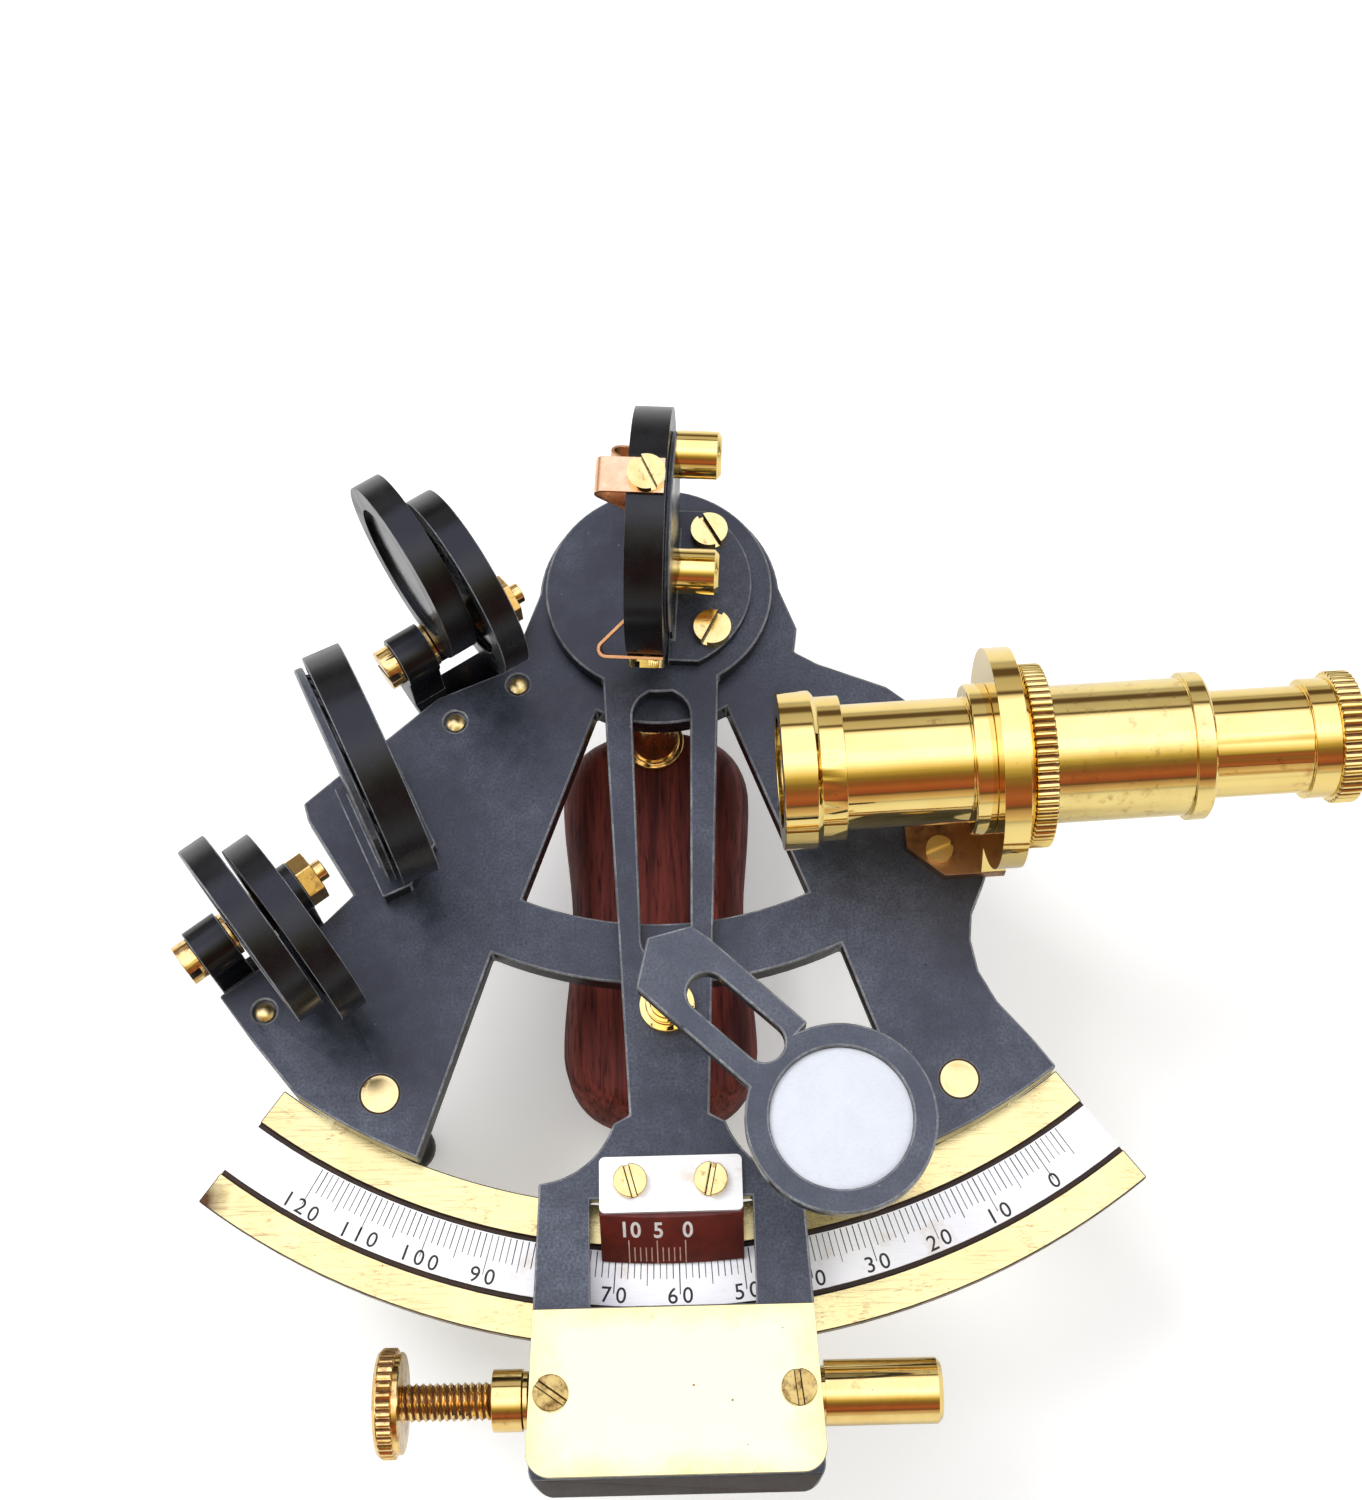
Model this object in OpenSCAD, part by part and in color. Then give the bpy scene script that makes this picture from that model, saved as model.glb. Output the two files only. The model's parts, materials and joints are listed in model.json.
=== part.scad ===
// Marine sextant with a vernier scale, lying on its three legs with the scale facing up.
// Origin: on the rest plane, under the centre of the index arm's pivot.
// +Y runs from the scale towards the index mirror, +Z is square to the frame plate.

/* [Scale arc] */
// Radius at which the scale is read
read_r = 127; // [118:0.5:140]
// Width of the silvered scale between the two grooves
scale_w = 9.4; // [8:0.1:12]
// Width of each turned groove beside the scale
groove_w = 0.9; // [0.5:0.1:1.4]
// Depth of the turned grooves and of the seat of the scale
groove_d = 0.6; // [0.3:0.1:1.2]
// Thickness of the brass arc
limb_t = 3; // [2:0.1:5]
// Brass left inside the inner groove
limb_in_w = 7; // [5:0.1:9]
// Brass left outside the outer groove
limb_out_w = 6.2; // [4:0.1:8]
// Half angle of the arc
limb_half_a = 36.2; // [35:0.1:40]

/* [Frame plate] */
// Thickness of the black frame plate
frame_t = 5; // [4:0.1:7]
// Inner radius of the curved cross bar
band_in_r = 67.4; // [60:0.1:72]
// Outer radius of the curved cross bar
band_out_r = 79; // [76:0.1:86]
// Height of the arc's underside over the table
leg_h = 38; // [34:0.5:46]
// Distance of the legs and their pins from the arc's inner edge
leg_inset = 7.7; // [7.2:0.1:12]
// Half angle between the two legs on the arc
leg_a = 27.9; // [27:0.1:29]
// Diameter of a leg at its waist
leg_d = 7; // [6:0.1:9]
// Diameter of the leg pins through the frame
pin_d = 4; // [3:0.1:5]
// Diameter of the heads of the leg pins
pin_head_d = 6.8; // [6:0.1:8]

/* [Pivot] */
// Diameter of the index arm's axle
axle_d = 9; // [7:0.1:11]
// Outer diameter of the bearing housing behind the frame
bearing_d = 20; // [18:0.5:23]
// Radial running clearance of the axle
run_fit = 0.06; // [0.03:0.01:0.1]

/* [Index arm] */
// Thickness of the index arm
arm_t = 3.2; // [2.5:0.1:4]
// Gap between the frame plate and the index arm
arm_gap = 0.8; // [0.7:0.1:1.2]
// Radius of the disc round the pivot
disc_r = 22.1; // [21:0.1:24]
// Width of the index arm below the disc
arm_top_w = 23; // [20:0.1:25]
// Width of the index arm above the foot
arm_low_w = 14.2; // [13:0.1:16]
// Width of the slot in the index arm at its upper end
slot_top_w = 11; // [9:0.1:12]
// Width of the slot in the index arm at its lower end
slot_low_w = 9; // [7:0.1:9.5]
// Width of the foot at its inner end
foot_in_w = 46; // [43:0.1:49]
// Width of the foot at its outer end
foot_out_w = 50.6; // [48:0.1:53]
// Length of the brass cover plate on the foot
cover_l = 27.2; // [24:0.1:30]
// Thickness of the cover plate
cover_t = 1.2; // [0.8:0.1:2]
// Depth of the foot block below the index arm
block_h = 10.2; // [10:0.1:12]
// Width of the window over the scale
window_w = 28.4; // [26:0.1:30]

/* [Vernier] */
// Width of the silvered vernier plate
vernier_plate_w = 25; // [22:0.1:26]
// Thickness of the vernier plate
vernier_plate_t = 1; // [0.6:0.1:1.5]
// Gap between the vernier's edge and the scale
vernier_gap = 0.3; // [0.2:0.05:0.5]

/* [Tangent screw] */
// Diameter of the tangent screw's rod
tangent_d = 6.5; // [5:0.1:6.6]
// Diameter of the tangent screw's knurled head
tangent_head_d = 18.5; // [15:0.5:22]
// Distance from the foot's side to the tangent screw's head
tangent_l = 21.3; // [21.3:0.1:24]
// Outer diameter of the spring barrel
barrel_d = 11; // [10.5:0.1:11.6]
// Length of the spring barrel outside the foot block
barrel_l = 20; // [18:0.1:24]
// Travel of the clamp to each side of the middle
clamp_travel = 3; // [2:0.1:3.5]

/* [Mirrors] */
// Outer radius of the index mirror's frame
index_mirror_r = 23; // [20:0.1:23.5]
// Outer radius of the horizon mirror's frame
horizon_mirror_r = 22; // [19:0.1:22.5]
// Thickness of both mirror frames
mirror_frame_t = 6.9; // [6:0.1:8]
// Width of a mirror frame's rim
mirror_rim_w = 2.4; // [1.8:0.1:3]
// Thickness of both mirrors
mirror_glass_t = 3; // [2:0.1:3.5]
// Diameter of the brass adjuster caps
adjuster_d = 8.8; // [7:0.1:9.5]

/* [Shades] */
// Outer radius of a shade's frame
shade_r = 18; // [16:0.1:18.5]
// Thickness of a shade's frame
shade_t = 5.2; // [4:0.1:5.4]
// Radius of the clear glass in a shade
shade_glass_r = 14.6; // [12:0.1:15]
// Distance from the hinge pin to the middle of a shade
shade_arm = 20; // [19.8:0.1:21]
// Diameter of a shade's hinge pin
shade_pin_d = 4; // [3:0.1:4.5]
// Height of the shades' hinge pins over the frame plate
shade_axis_h = 7; // [6.5:0.1:9]

/* [Telescope] */
// Height of the telescope's axis over the frame plate
scope_h = 25; // [23.5:0.1:28]
// Outer radius of the front half of the main tube
tube_r = 11.2; // [10.9:0.1:11.6]
// Wall of the telescope's tubes
tube_wall = 1; // [0.6:0.1:1.4]
// Outer radius of the draw tube
draw_r = 9.6; // [8.5:0.1:9.7]
// Outer radius of the carrying ring
ring_r = 19.7; // [18.5:0.1:20.5]
// Thickness of the carrying ring
ring_t = 4.6; // [4:0.1:6]

/* [Magnifier] */
// Height of the magnifier over the frame plate
magnifier_h = 27; // [24:0.5:32]
// Thickness of the magnifier's arm
magnifier_t = 3; // [2:0.1:4]
// Outer radius of the magnifier's ring
magnifier_r = 15.9; // [14:0.1:16.5]
// Radius of the magnifier's lens
lens_r = 11.8; // [10:0.1:12.6]
// Distance from the magnifier's pivot to the middle of its lens
magnifier_l = 39.3; // [38:0.1:42]

/* [Handle] */
// Length of the wooden handle
handle_l = 82; // [70:1:86]
// Width of the wooden handle
handle_w = 37.5; // [30:0.5:42]
// Thickness of the wooden handle
handle_t = 20; // [16:0.5:22]
// Gap between the frame plate and the handle
handle_gap = 17; // [15:0.5:19]
// Diameter of the handle's posts
post_d = 10; // [8:0.1:11]

/* [Hidden] */
$fn = 96;
eps = 0.01;
fit = 0.05;
seat = 0.02;

// Levels over the table
z_limb_top = leg_h + limb_t;
z_top = z_limb_top + frame_t;
z_arm = z_top + arm_gap;
z_arm_top = z_arm + arm_t;
z_cover = z_arm_top + cover_t;

// Radii of the arc
scale_in_r = read_r - 0.4;
scale_out_r = scale_in_r + scale_w;
groove_in_r = scale_in_r - groove_w;
groove_out_r = scale_out_r + groove_w;
limb_in_r = groove_in_r - limb_in_w;
leg_pcr = limb_in_r - leg_inset;
limb_out_r = groove_out_r + limb_out_w;

// Stations along the index arm, from the pivot towards the scale
window_y0 = read_r - 8.2;
window_y1 = read_r + 10;
vernier_y0 = window_y0 + 0.4;
vernier_plate_y0 = window_y0 - 7.2;
vernier_plate_y1 = window_y0 + 2.6;
neck_y = window_y0 - 14.8;
flare_y = window_y0 - 3;
cover_y0 = window_y1 + 0.4;
foot_draft = 2.2;
foot_y = cover_y0 + cover_l;
block_y0 = limb_out_r + 0.8;
screw_y = cover_y0 + 13.8;
z_screw = z_top - 3.8;
slot_y0 = disc_r + 5;
slot_y1 = 71.6;
vernier_screw_x = [-7, 7];
vernier_screw_y = vernier_plate_y0 + 4.4;
cover_screw_x = [-20.8, 20.8];
block_screw_x = [-14, 14];
block_screw_y = screw_y + 9.6;
magnifier_y = 84.5;
magnifier_rest_a = 46.8;
corner_r = 4;

// Half width of the foot at the distance y from the pivot
function foot_half_w(y) = foot_in_w / 2 + (foot_out_w - foot_in_w) / 2 * (y - flare_y) / (foot_y - flare_y);

// Clamp behind the arc
lug_w = 12;
cavity_w = lug_w + 2 * clamp_travel + 2;
cavity_y0 = screw_y - 5;
cavity_y1 = screw_y + 5;
lip_y = limb_out_r - 4.6;
lip_t = 2.2;
limb_gap = 0.3;
jaw_t = 3.4;
gib_t = 1.6;
gib_z = leg_h - limb_gap - gib_t;
jaw_z = gib_z - 0.7 - jaw_t;
clamp_w = 22;
clamp_y = (scale_in_r + scale_out_r) / 2;
clamp_d = 5;
clamp_knob_r = 8;

// Places of the parts on the frame
leg_pos = [leg_pcr * sin(leg_a), -leg_pcr * cos(leg_a)];
index_shade_pos = [-51.6, -16.9];
index_shade_a = 32;
horizon_shade_pos = [-86, -74.6];
horizon_shade_a = 36.5;
shade_lean = [[18, -7], [-26, -38]];
z_shade = z_top + shade_axis_h;
horizon_pos = [-51.3, -45.3];
horizon_a = 24.5;
index_mirror_a = -4.2;
index_mirror_x = -0.8;
scope_pos = [60.3, -46.5];
scope_a = 2.2;
z_scope = z_top + scope_h;
z_index_mirror = z_arm_top + index_mirror_r + seat;
z_horizon_mirror = z_index_mirror;
handle_x = -2;
post_y = [22, 73.2];
handle_y = post_y[0] - 5 + handle_l / 2;
z_handle = z_limb_top - handle_gap - handle_t;

// Stations along a shade hinge, from the middle of the screw's head
shade_head_t = 3;
ear_t = 6.7;
ear_r = 5;
washer_t = 0.8;
shade_side = 0.1;
ear_s0 = shade_head_t / 2;
ear_s1 = ear_s0 + ear_t;
shade_s = [ear_s1 + washer_t + shade_side, ear_s1 + 2 * washer_t + 3 * shade_side + shade_t];
far_ear_s0 = shade_s[1] + shade_t + shade_side;
far_ear_t = 3.2;
nut_s0 = far_ear_s0 + far_ear_t;
nut_t = 3.4;

// Stations along the telescope, from the middle of the carrying ring
scope_front = -39.2;
bezel_l = 6.6;
neck_ring_l = 4.4;
shoulder_s = ring_t / 2;
lock_s = shoulder_s + 1.4;
lock_t = 4.1;
end_collar_s = 32.2;
end_collar_l = 3.6;
draw_end_s = 53.4;
eyepiece_l = 9;
draw_inside = 22;

// Shapes that repeat

// Ring between two radii, standing on the plane z = 0
module ring(r_out, r_in, h) {
    linear_extrude(h)
        difference() {
            circle(r = r_out);
            circle(r = r_in);
        }
}

// Sector of a flat ring, centred on -Y
module arc_band(r_in, r_out, half_a, h) {
    rotate([0, 0, -90 - half_a])
        rotate_extrude(angle = 2 * half_a)
            translate([r_in, 0])
                square([r_out - r_in, h]);
}

// Toothed outline of a knurled edge, its points worked out from the number of teeth
module knurled_disc(r, teeth, h, depth = 0.45) {
    points = [for (i = [0 : 2 * teeth - 1])
        let (a = 180 * i / teeth, q = r - (i % 2) * depth)
        [q * cos(a), q * sin(a)]];
    linear_extrude(h)
        polygon(points);
}

// Cheese head screw with a slot, its head standing on z = 0 and its shank going down
module slotted_screw(head_d, head_h, shank_d, shank_l, slot_a = 0) {
    difference() {
        union() {
            cylinder(h = head_h, d = head_d);
            translate([0, 0, -shank_l])
                cylinder(h = shank_l + eps, d = shank_d);
        }
        rotate([0, 0, slot_a])
            translate([-head_d, -head_d * 0.085, head_h * 0.25])
                cube([2 * head_d, head_d * 0.17, head_h]);
    }
}

// Domed head of the diameter d standing on z = 0: a rim of the height h, then a rise of the height rise
module domed_head(d, h, rise) {
    cap_r = d * d / 8 / rise + rise / 2;
    cylinder(h = h + eps, d = d);
    translate([0, 0, h])
        rotate_extrude()
            intersection() {
                translate([0, rise - cap_r])
                    circle(r = cap_r);
                square([d / 2, rise + 1]);
            }
}

// Puts its children in the local frame of a shade hinge: X along the pin, Z up
module at_hinge(pos, a) {
    translate([pos[0], pos[1], z_shade])
        rotate([0, 0, a])
            children();
}

// Puts its children in the local frame of the telescope: Z along its axis, towards the eye
module at_scope(s) {
    translate([scope_pos[0], scope_pos[1], z_scope])
        rotate([0, 0, scope_a])
            rotate([0, 90, 0])
                translate([0, 0, s])
                    children();
}

// Puts its children in the frame of a mirror: X is the mirror's normal
module at_mirror(pos, a, z) {
    translate([pos[0], pos[1], z])
        rotate([0, 0, a])
            children();
}

// Puts its children at both legs on the arc
module at_legs() {
    for (side = [-1, 1])
        translate([side * leg_pos[0], leg_pos[1], 0])
            children();
}

// Frame and arc

module frame_outline() {
    shoulder = [[19.9, 12], [23.1, 2.8], [26.8, -7.4], [26, -12.4], [30.4, -15.1], [43.4, -20.4]];
    right = [[52.5, -28], [61, -36.5], [62.8, -44], [62.4, -53], [59.3, -61], [56.6, -67],
             [56, -72], [57, -78], [59.9, -83.8], [66.1, -91.4], [70.5, -97.6]];
    left = [[-52.4, -28.2], [-61.5, -35.6], [-68.3, -41.6], [-67.4, -44.9], [-58.1, -60.1],
            [-63.9, -66], [-82, -79.1], [-75.8, -87.4], [-65.9, -99.4]];
    circle(r = disc_r + 1.5);
    intersection() {
        circle(r = limb_in_r);
        polygon(concat(
            shoulder,
            right,
            [[60, -130], [-60, -130]],
            [for (i = [len(left) - 1 : -1 : 0]) left[i]],
            [for (i = [len(shoulder) - 1 : -1 : 0]) [-shoulder[i][0], shoulder[i][1]]]
        ));
    }
}

// Opening above the curved cross bar and the bay between the legs below it
module frame_openings() {
    intersection() {
        difference() {
            circle(r = band_in_r);
            circle(r = 27);
        }
        polygon([[-11.1, -20], [11.1, -20], [29.6, -70], [-29.6, -70]]);
    }
    intersection() {
        difference() {
            circle(r = limb_out_r);
            circle(r = band_out_r);
        }
        polygon([[-31, -68.7], [31, -68.7], [55.2, -140], [-55.2, -140]]);
    }
}

module frame_plate() {
    color("#2c3138")
        translate([0, 0, z_limb_top])
            difference() {
                linear_extrude(frame_t)
                    difference() {
                        frame_outline();
                        frame_openings();
                        circle(d = bearing_d - 4 + 2 * fit);
                        for (side = [-1, 1])
                            translate([side * leg_pos[0], leg_pos[1]])
                                circle(d = pin_d + 2 * fit);
                    }
                at_legs()
                    translate([0, 0, frame_t - 1.4])
                        cylinder(h = 2, d = pin_head_d + 2 * fit);
                for (p = frame_screw_pos)
                    translate([p[0], p[1], -eps]) {
                        cylinder(h = frame_t + 1, d = 2.4 + 2 * fit);
                        translate([0, 0, frame_t - 1.2])
                            cylinder(h = 2, d = frame_screw_d + 1);
                    }
                for (p = scope_screw_pos)
                    translate([p[0], p[1], -eps])
                        cylinder(h = frame_t + 1, d = 3 + 2 * fit);
                for (y = post_y)
                    translate([handle_x, -y, -eps])
                        cylinder(h = 3 + eps, d = 5 + 2 * fit);
            }
}

module limb_arc() {
    color("#c8a04a")
        difference() {
            union() {
                translate([0, 0, leg_h])
                    arc_band(limb_in_r, limb_out_r, limb_half_a, limb_t);
                at_legs()
                    translate([0, 0, leg_h])
                        cylinder(h = limb_t, r = 7);
                for (side = [-1, 1])
                    rotate([0, 0, side * leg_a])
                        translate([-6.2, -limb_in_r - 1, leg_h])
                            cube([12.4, limb_in_r + 1 - leg_pcr, limb_t]);
            }
            translate([0, 0, z_limb_top - groove_d])
                arc_band(groove_in_r, groove_out_r, limb_half_a + 1, groove_d + 1);
            at_legs()
                translate([0, 0, leg_h - 1])
                    cylinder(h = limb_t + 2, d = pin_d + 2 * fit);
        }
}

module scale_strip() {
    color("#e9e7df")
        translate([0, 0, z_limb_top - groove_d])
            arc_band(scale_in_r, scale_out_r, limb_half_a - 0.1, groove_d);
}

module limb_pins() {
    color("#c8a04a")
        at_legs() {
            translate([0, 0, z_top - 1.4])
                domed_head(pin_head_d, 1.4, 0.5);
            translate([0, 0, leg_h - 8])
                cylinder(h = z_top - leg_h + 7, d = pin_d);
        }
}

// Profile of a turned leg from its foot up to the height h
module leg_profile(h, top_r) {
    polygon([
        [0, 0], [3.2, 0], [4.6, 1.2], [4.6, 4], [leg_d / 2, 7],
        [leg_d / 2 - 0.5, h * 0.4], [leg_d / 2, h - 5], [leg_d / 2 + 1, h - 4],
        [leg_d / 2 + 1, h - 3], [top_r, h - 2], [top_r, h], [0, h]
    ]);
}

module legs() {
    color("#c8a04a") {
        at_legs()
            difference() {
                rotate_extrude()
                    leg_profile(leg_h, 6.5);
                translate([0, 0, leg_h - 8.5])
                    cylinder(h = 9, d = pin_d + 2 * fit);
            }
        difference() {
            rotate_extrude()
                leg_profile(16, bearing_d / 2 + 2.2);
            translate([0, 0, 14])
                cylinder(h = 3, d = bearing_d - 6);
        }
        translate([0, 0, 16])
            ring(bearing_d / 2 + 2.2, bearing_d / 2 - 3, 8);
        translate([0, 0, 24])
            ring(bearing_d / 2 + 2.2, bearing_d / 2 + fit, 6);
    }
}

module centre_bearing() {
    color("#b8923f")
        difference() {
            union() {
                translate([0, 0, 24])
                    cylinder(h = z_limb_top - 24, d = bearing_d);
                translate([0, 0, z_limb_top - 3])
                    cylinder(h = 3, d = bearing_d + 8);
                translate([0, 0, z_limb_top - eps])
                    cylinder(h = frame_t + eps, d = bearing_d - 4);
            }
            translate([0, 0, 23])
                cylinder(h = z_top - 22, d = axle_d + 2 * run_fit);
        }
}

// Handle

// Rectangle of the size w by h with corners of the radius r, centred, its arcs in steps of 9 degrees
function rounded(w, h, r) = concat(
    [for (a = [0 : 9 : 90]) [w / 2 - r + r * cos(a), h / 2 - r + r * sin(a)]],
    [for (a = [90 : 9 : 180]) [-w / 2 + r + r * cos(a), h / 2 - r + r * sin(a)]],
    [for (a = [180 : 9 : 270]) [-w / 2 + r + r * cos(a), -h / 2 + r + r * sin(a)]],
    [for (a = [270 : 9 : 360]) [w / 2 - r + r * cos(a), -h / 2 + r + r * sin(a)]]
);

// One long side of the handle with its slight waist, from its upper to its lower end
grip_end_r = 15;
grip_waist = 1.8;
function grip_side(side) =
    let (hw = handle_w / 2, straight = handle_l / 2 - grip_end_r)
    concat(
        [for (a = [90 : -9 : 0])
            [side * (hw - grip_end_r + grip_end_r * cos(a)), straight + grip_end_r * sin(a)]],
        [for (i = [1 : 11])
            let (y = straight * (1 - i / 6))
            [side * (hw - grip_waist * (1 + cos(180 * y / straight)) / 2), y]],
        [for (a = [0 : -9 : -90])
            [side * (hw - grip_end_r + grip_end_r * cos(a)), -straight + grip_end_r * sin(a)]]
    );

module handle_grip() {
    right = grip_side(1);
    left = grip_side(-1);
    color("#6e2f27")
        difference() {
            translate([handle_x, -handle_y, z_handle])
                intersection() {
                    linear_extrude(handle_t)
                        polygon(concat(right, [for (i = [len(left) - 1 : -1 : 0]) left[i]]));
                    translate([0, handle_l / 2, handle_t / 2])
                        rotate([90, 0, 0])
                            linear_extrude(handle_l)
                                polygon(rounded(handle_w, handle_t, 6.5));
                    translate([-handle_w / 2, 0, handle_t / 2])
                        rotate([90, 0, 90])
                            linear_extrude(handle_w)
                                polygon(rounded(handle_l, handle_t, 7.5));
                }
            for (y = post_y)
                translate([handle_x, -y, z_handle - 1]) {
                    cylinder(h = handle_t + 2, d = 4 + 2 * fit);
                    cylinder(h = 4, d = 8 + 2 * fit);
                }
        }
}

module handle_posts() {
    color("#b8923f")
        for (y = post_y)
            translate([handle_x, -y, z_handle + handle_t])
                difference() {
                    union() {
                        cylinder(h = handle_gap, d = post_d);
                        cylinder(h = 2, d = post_d + 2);
                        translate([0, 0, handle_gap - eps])
                            cylinder(h = 3, d = 5);
                    }
                    translate([0, 0, -1])
                        cylinder(h = 11, d = 4 + 2 * fit);
                }
}

module handle_screws() {
    color("#c8a04a")
        for (y = post_y)
            translate([handle_x, -y, z_handle + 3])
                rotate([180, 0, 0])
                    slotted_screw(8, 2.2, 4, handle_t + 5, 30);
}

// Horizon mirror

module horizon_bracket() {
    back_x = -mirror_frame_t / 2;
    color("#2c3138")
        at_mirror(horizon_pos, horizon_a, 0) {
            translate([0, 0, z_top])
                linear_extrude(3.6)
                    polygon([
                        [back_x - 4.2, 9], [back_x - 4.2, -15], [-2, -15], [5.4, -9.4], [5.4, 9]
                    ]);
            translate([back_x - 2.2, -9, z_top])
                cube([2.2, 16, z_horizon_mirror - z_top]);
            translate([back_x - 2.2, 0, z_horizon_mirror])
                rotate([0, 90, 0])
                    cylinder(h = 1.6, r = horizon_mirror_r - 1.4);
            translate([back_x - 0.62, 0, z_horizon_mirror])
                rotate([0, 90, 0])
                    cylinder(h = 0.62, r = horizon_mirror_r - 3);
        }
}

// Round frame of a mirror with its seat open towards the side dir of its normal
module mirror_cell(r, dir) {
    rotate([0, 90, 0])
        difference() {
            translate([0, 0, -mirror_frame_t / 2])
                cylinder(h = mirror_frame_t, r = r);
            translate([0, 0, dir > 0 ? mirror_frame_t / 2 - mirror_glass_t - 0.8 : -mirror_frame_t / 2 - 1])
                cylinder(h = mirror_glass_t + 1.8, r = r - mirror_rim_w);
        }
}

// Mirror plate lying at the bottom of that seat
module mirror_disc(r, dir) {
    x = dir > 0 ? mirror_frame_t / 2 - mirror_glass_t - 0.8 : -mirror_frame_t / 2 + 0.8;
    translate([x, 0, 0])
        rotate([0, 90, 0])
            cylinder(h = mirror_glass_t, r = r - mirror_rim_w - fit);
}

module horizon_frame() {
    color("#2c3138")
        at_mirror(horizon_pos, horizon_a, z_horizon_mirror)
            mirror_cell(horizon_mirror_r, 1);
}

module horizon_glass() {
    color("#cfd8dc")
        at_mirror(horizon_pos, horizon_a, z_horizon_mirror)
            mirror_disc(horizon_mirror_r, 1);
}

// Shades and their brackets

// Places of the small screws that hold the shade brackets, in the frame
bracket_screw_s = [5.5, 19.7];
bracket_screw_w = -13.5;
frame_screw_d = 3.4;
function hinge_point(pos, a, s, w) = [pos[0] + s * cos(a) - w * sin(a), pos[1] + s * sin(a) + w * cos(a)];
frame_screw_pos = concat(
    [for (s = bracket_screw_s) hinge_point(index_shade_pos, index_shade_a, s, bracket_screw_w)],
    [for (s = bracket_screw_s) hinge_point(horizon_shade_pos, horizon_shade_a, s, bracket_screw_w)]
);

// Fork whose base lies under the frame plate and whose ears stand outside its edge
module shade_bracket(pos, a) {
    base_z = z_limb_top - z_shade - 3;
    color("#24282e")
        at_hinge(pos, a)
            difference() {
                union() {
                    translate([ear_s0, bracket_screw_w - 4, base_z])
                        cube([nut_s0 - ear_s0, -bracket_screw_w + 3, 3]);
                    for (e = [[ear_s0, ear_t], [far_ear_s0, far_ear_t]]) {
                        translate([e[0], -5.6, base_z])
                            cube([e[1], ear_r + 5.6, 3]);
                        translate([e[0], -4, base_z])
                            cube([e[1], ear_r + 4, -base_z]);
                        rotate([0, 90, 0])
                            translate([0, 0, e[0]])
                                cylinder(h = e[1], r = ear_r);
                    }
                }
                rotate([0, 90, 0])
                    cylinder(h = nut_s0 + 5, d = shade_pin_d + 2 * fit);
                for (s = bracket_screw_s)
                    translate([s, bracket_screw_w, base_z - 1])
                        cylinder(h = 5, d = 2.4 + 2 * fit);
            }
}

module index_shade_bracket() shade_bracket(index_shade_pos, index_shade_a);
module horizon_shade_bracket() shade_bracket(horizon_shade_pos, horizon_shade_a);

module shade_pins() {
    color("#c8a04a")
        for (h = [[index_shade_pos, index_shade_a], [horizon_shade_pos, horizon_shade_a]])
            at_hinge(h[0], h[1])
                rotate([0, 90, 0]) {
                    translate([0, 0, ear_s0])
                        cylinder(h = nut_s0 + nut_t + 2 - ear_s0, d = shade_pin_d);
                    translate([0, 0, ear_s0])
                        rotate([180, 0, 60])
                            slotted_screw(8, shade_head_t, 3, 0.5);
                    translate([0, 0, ear_s1])
                        ring(4.2, shade_pin_d / 2 - eps, washer_t);
                    translate([0, 0, ear_s1 + washer_t + shade_t + 2 * shade_side])
                        ring(4.2, shade_pin_d / 2 - eps, washer_t);
                }
}

module shade_nuts() {
    color("#c8a04a")
        for (h = [[index_shade_pos, index_shade_a], [horizon_shade_pos, horizon_shade_a]])
            at_hinge(h[0], h[1])
                rotate([0, 90, 0])
                    translate([0, 0, nut_s0])
                        difference() {
                            cylinder(h = nut_t, r = 4.9, $fn = 6);
                            translate([0, 0, -1])
                                cylinder(h = nut_t + 2, d = shade_pin_d + 2 * fit);
                        }
}

module frame_screws() {
    color("#c8a04a") {
        for (p = frame_screw_pos)
            translate([p[0], p[1], z_top - 1.2]) {
                domed_head(frame_screw_d, 0.6, 0.7);
                translate([0, 0, -frame_t - 1.6])
                    cylinder(h = frame_t + 1.6 + eps, d = 2.4);
            }
        for (p = scope_screw_pos)
            translate([p[0], p[1], z_top + scope_foot_t])
                slotted_screw(5, 1.6, 3, scope_foot_t + frame_t - 0.5, 20);
    }
}

// Frame of one shade, leaning outwards about its pin by the angle lean
module shade_ring(pos, a, s, lean) {
    color("#23262b")
        at_hinge(pos, a)
            rotate([-lean, 0, 0])
                rotate([0, 90, 0])
                    translate([-shade_arm, 0, s])
                        difference() {
                            union() {
                                cylinder(h = shade_t, r = shade_r);
                                translate([shade_arm, 0, 0])
                                    cylinder(h = shade_t, r = 4);
                                translate([shade_r - 4, -4, 0])
                                    cube([shade_arm - shade_r + 4, 8, shade_t]);
                            }
                            translate([0, 0, 1])
                                cylinder(h = shade_t, r = shade_glass_r);
                            translate([0, 0, -1])
                                cylinder(h = shade_t, r = shade_glass_r - 1.2);
                            translate([shade_arm, 0, -1])
                                cylinder(h = shade_t + 2, d = shade_pin_d + 2 * run_fit);
                        }
}

// Dark glass of that shade, lying on the step inside its frame
module shade_glass(pos, a, s, lean) {
    color("#1a2a24")
        at_hinge(pos, a)
            rotate([-lean, 0, 0])
                rotate([0, 90, 0])
                    translate([-shade_arm, 0, s + 1])
                        cylinder(h = 2, r = shade_glass_r - fit);
}

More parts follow.
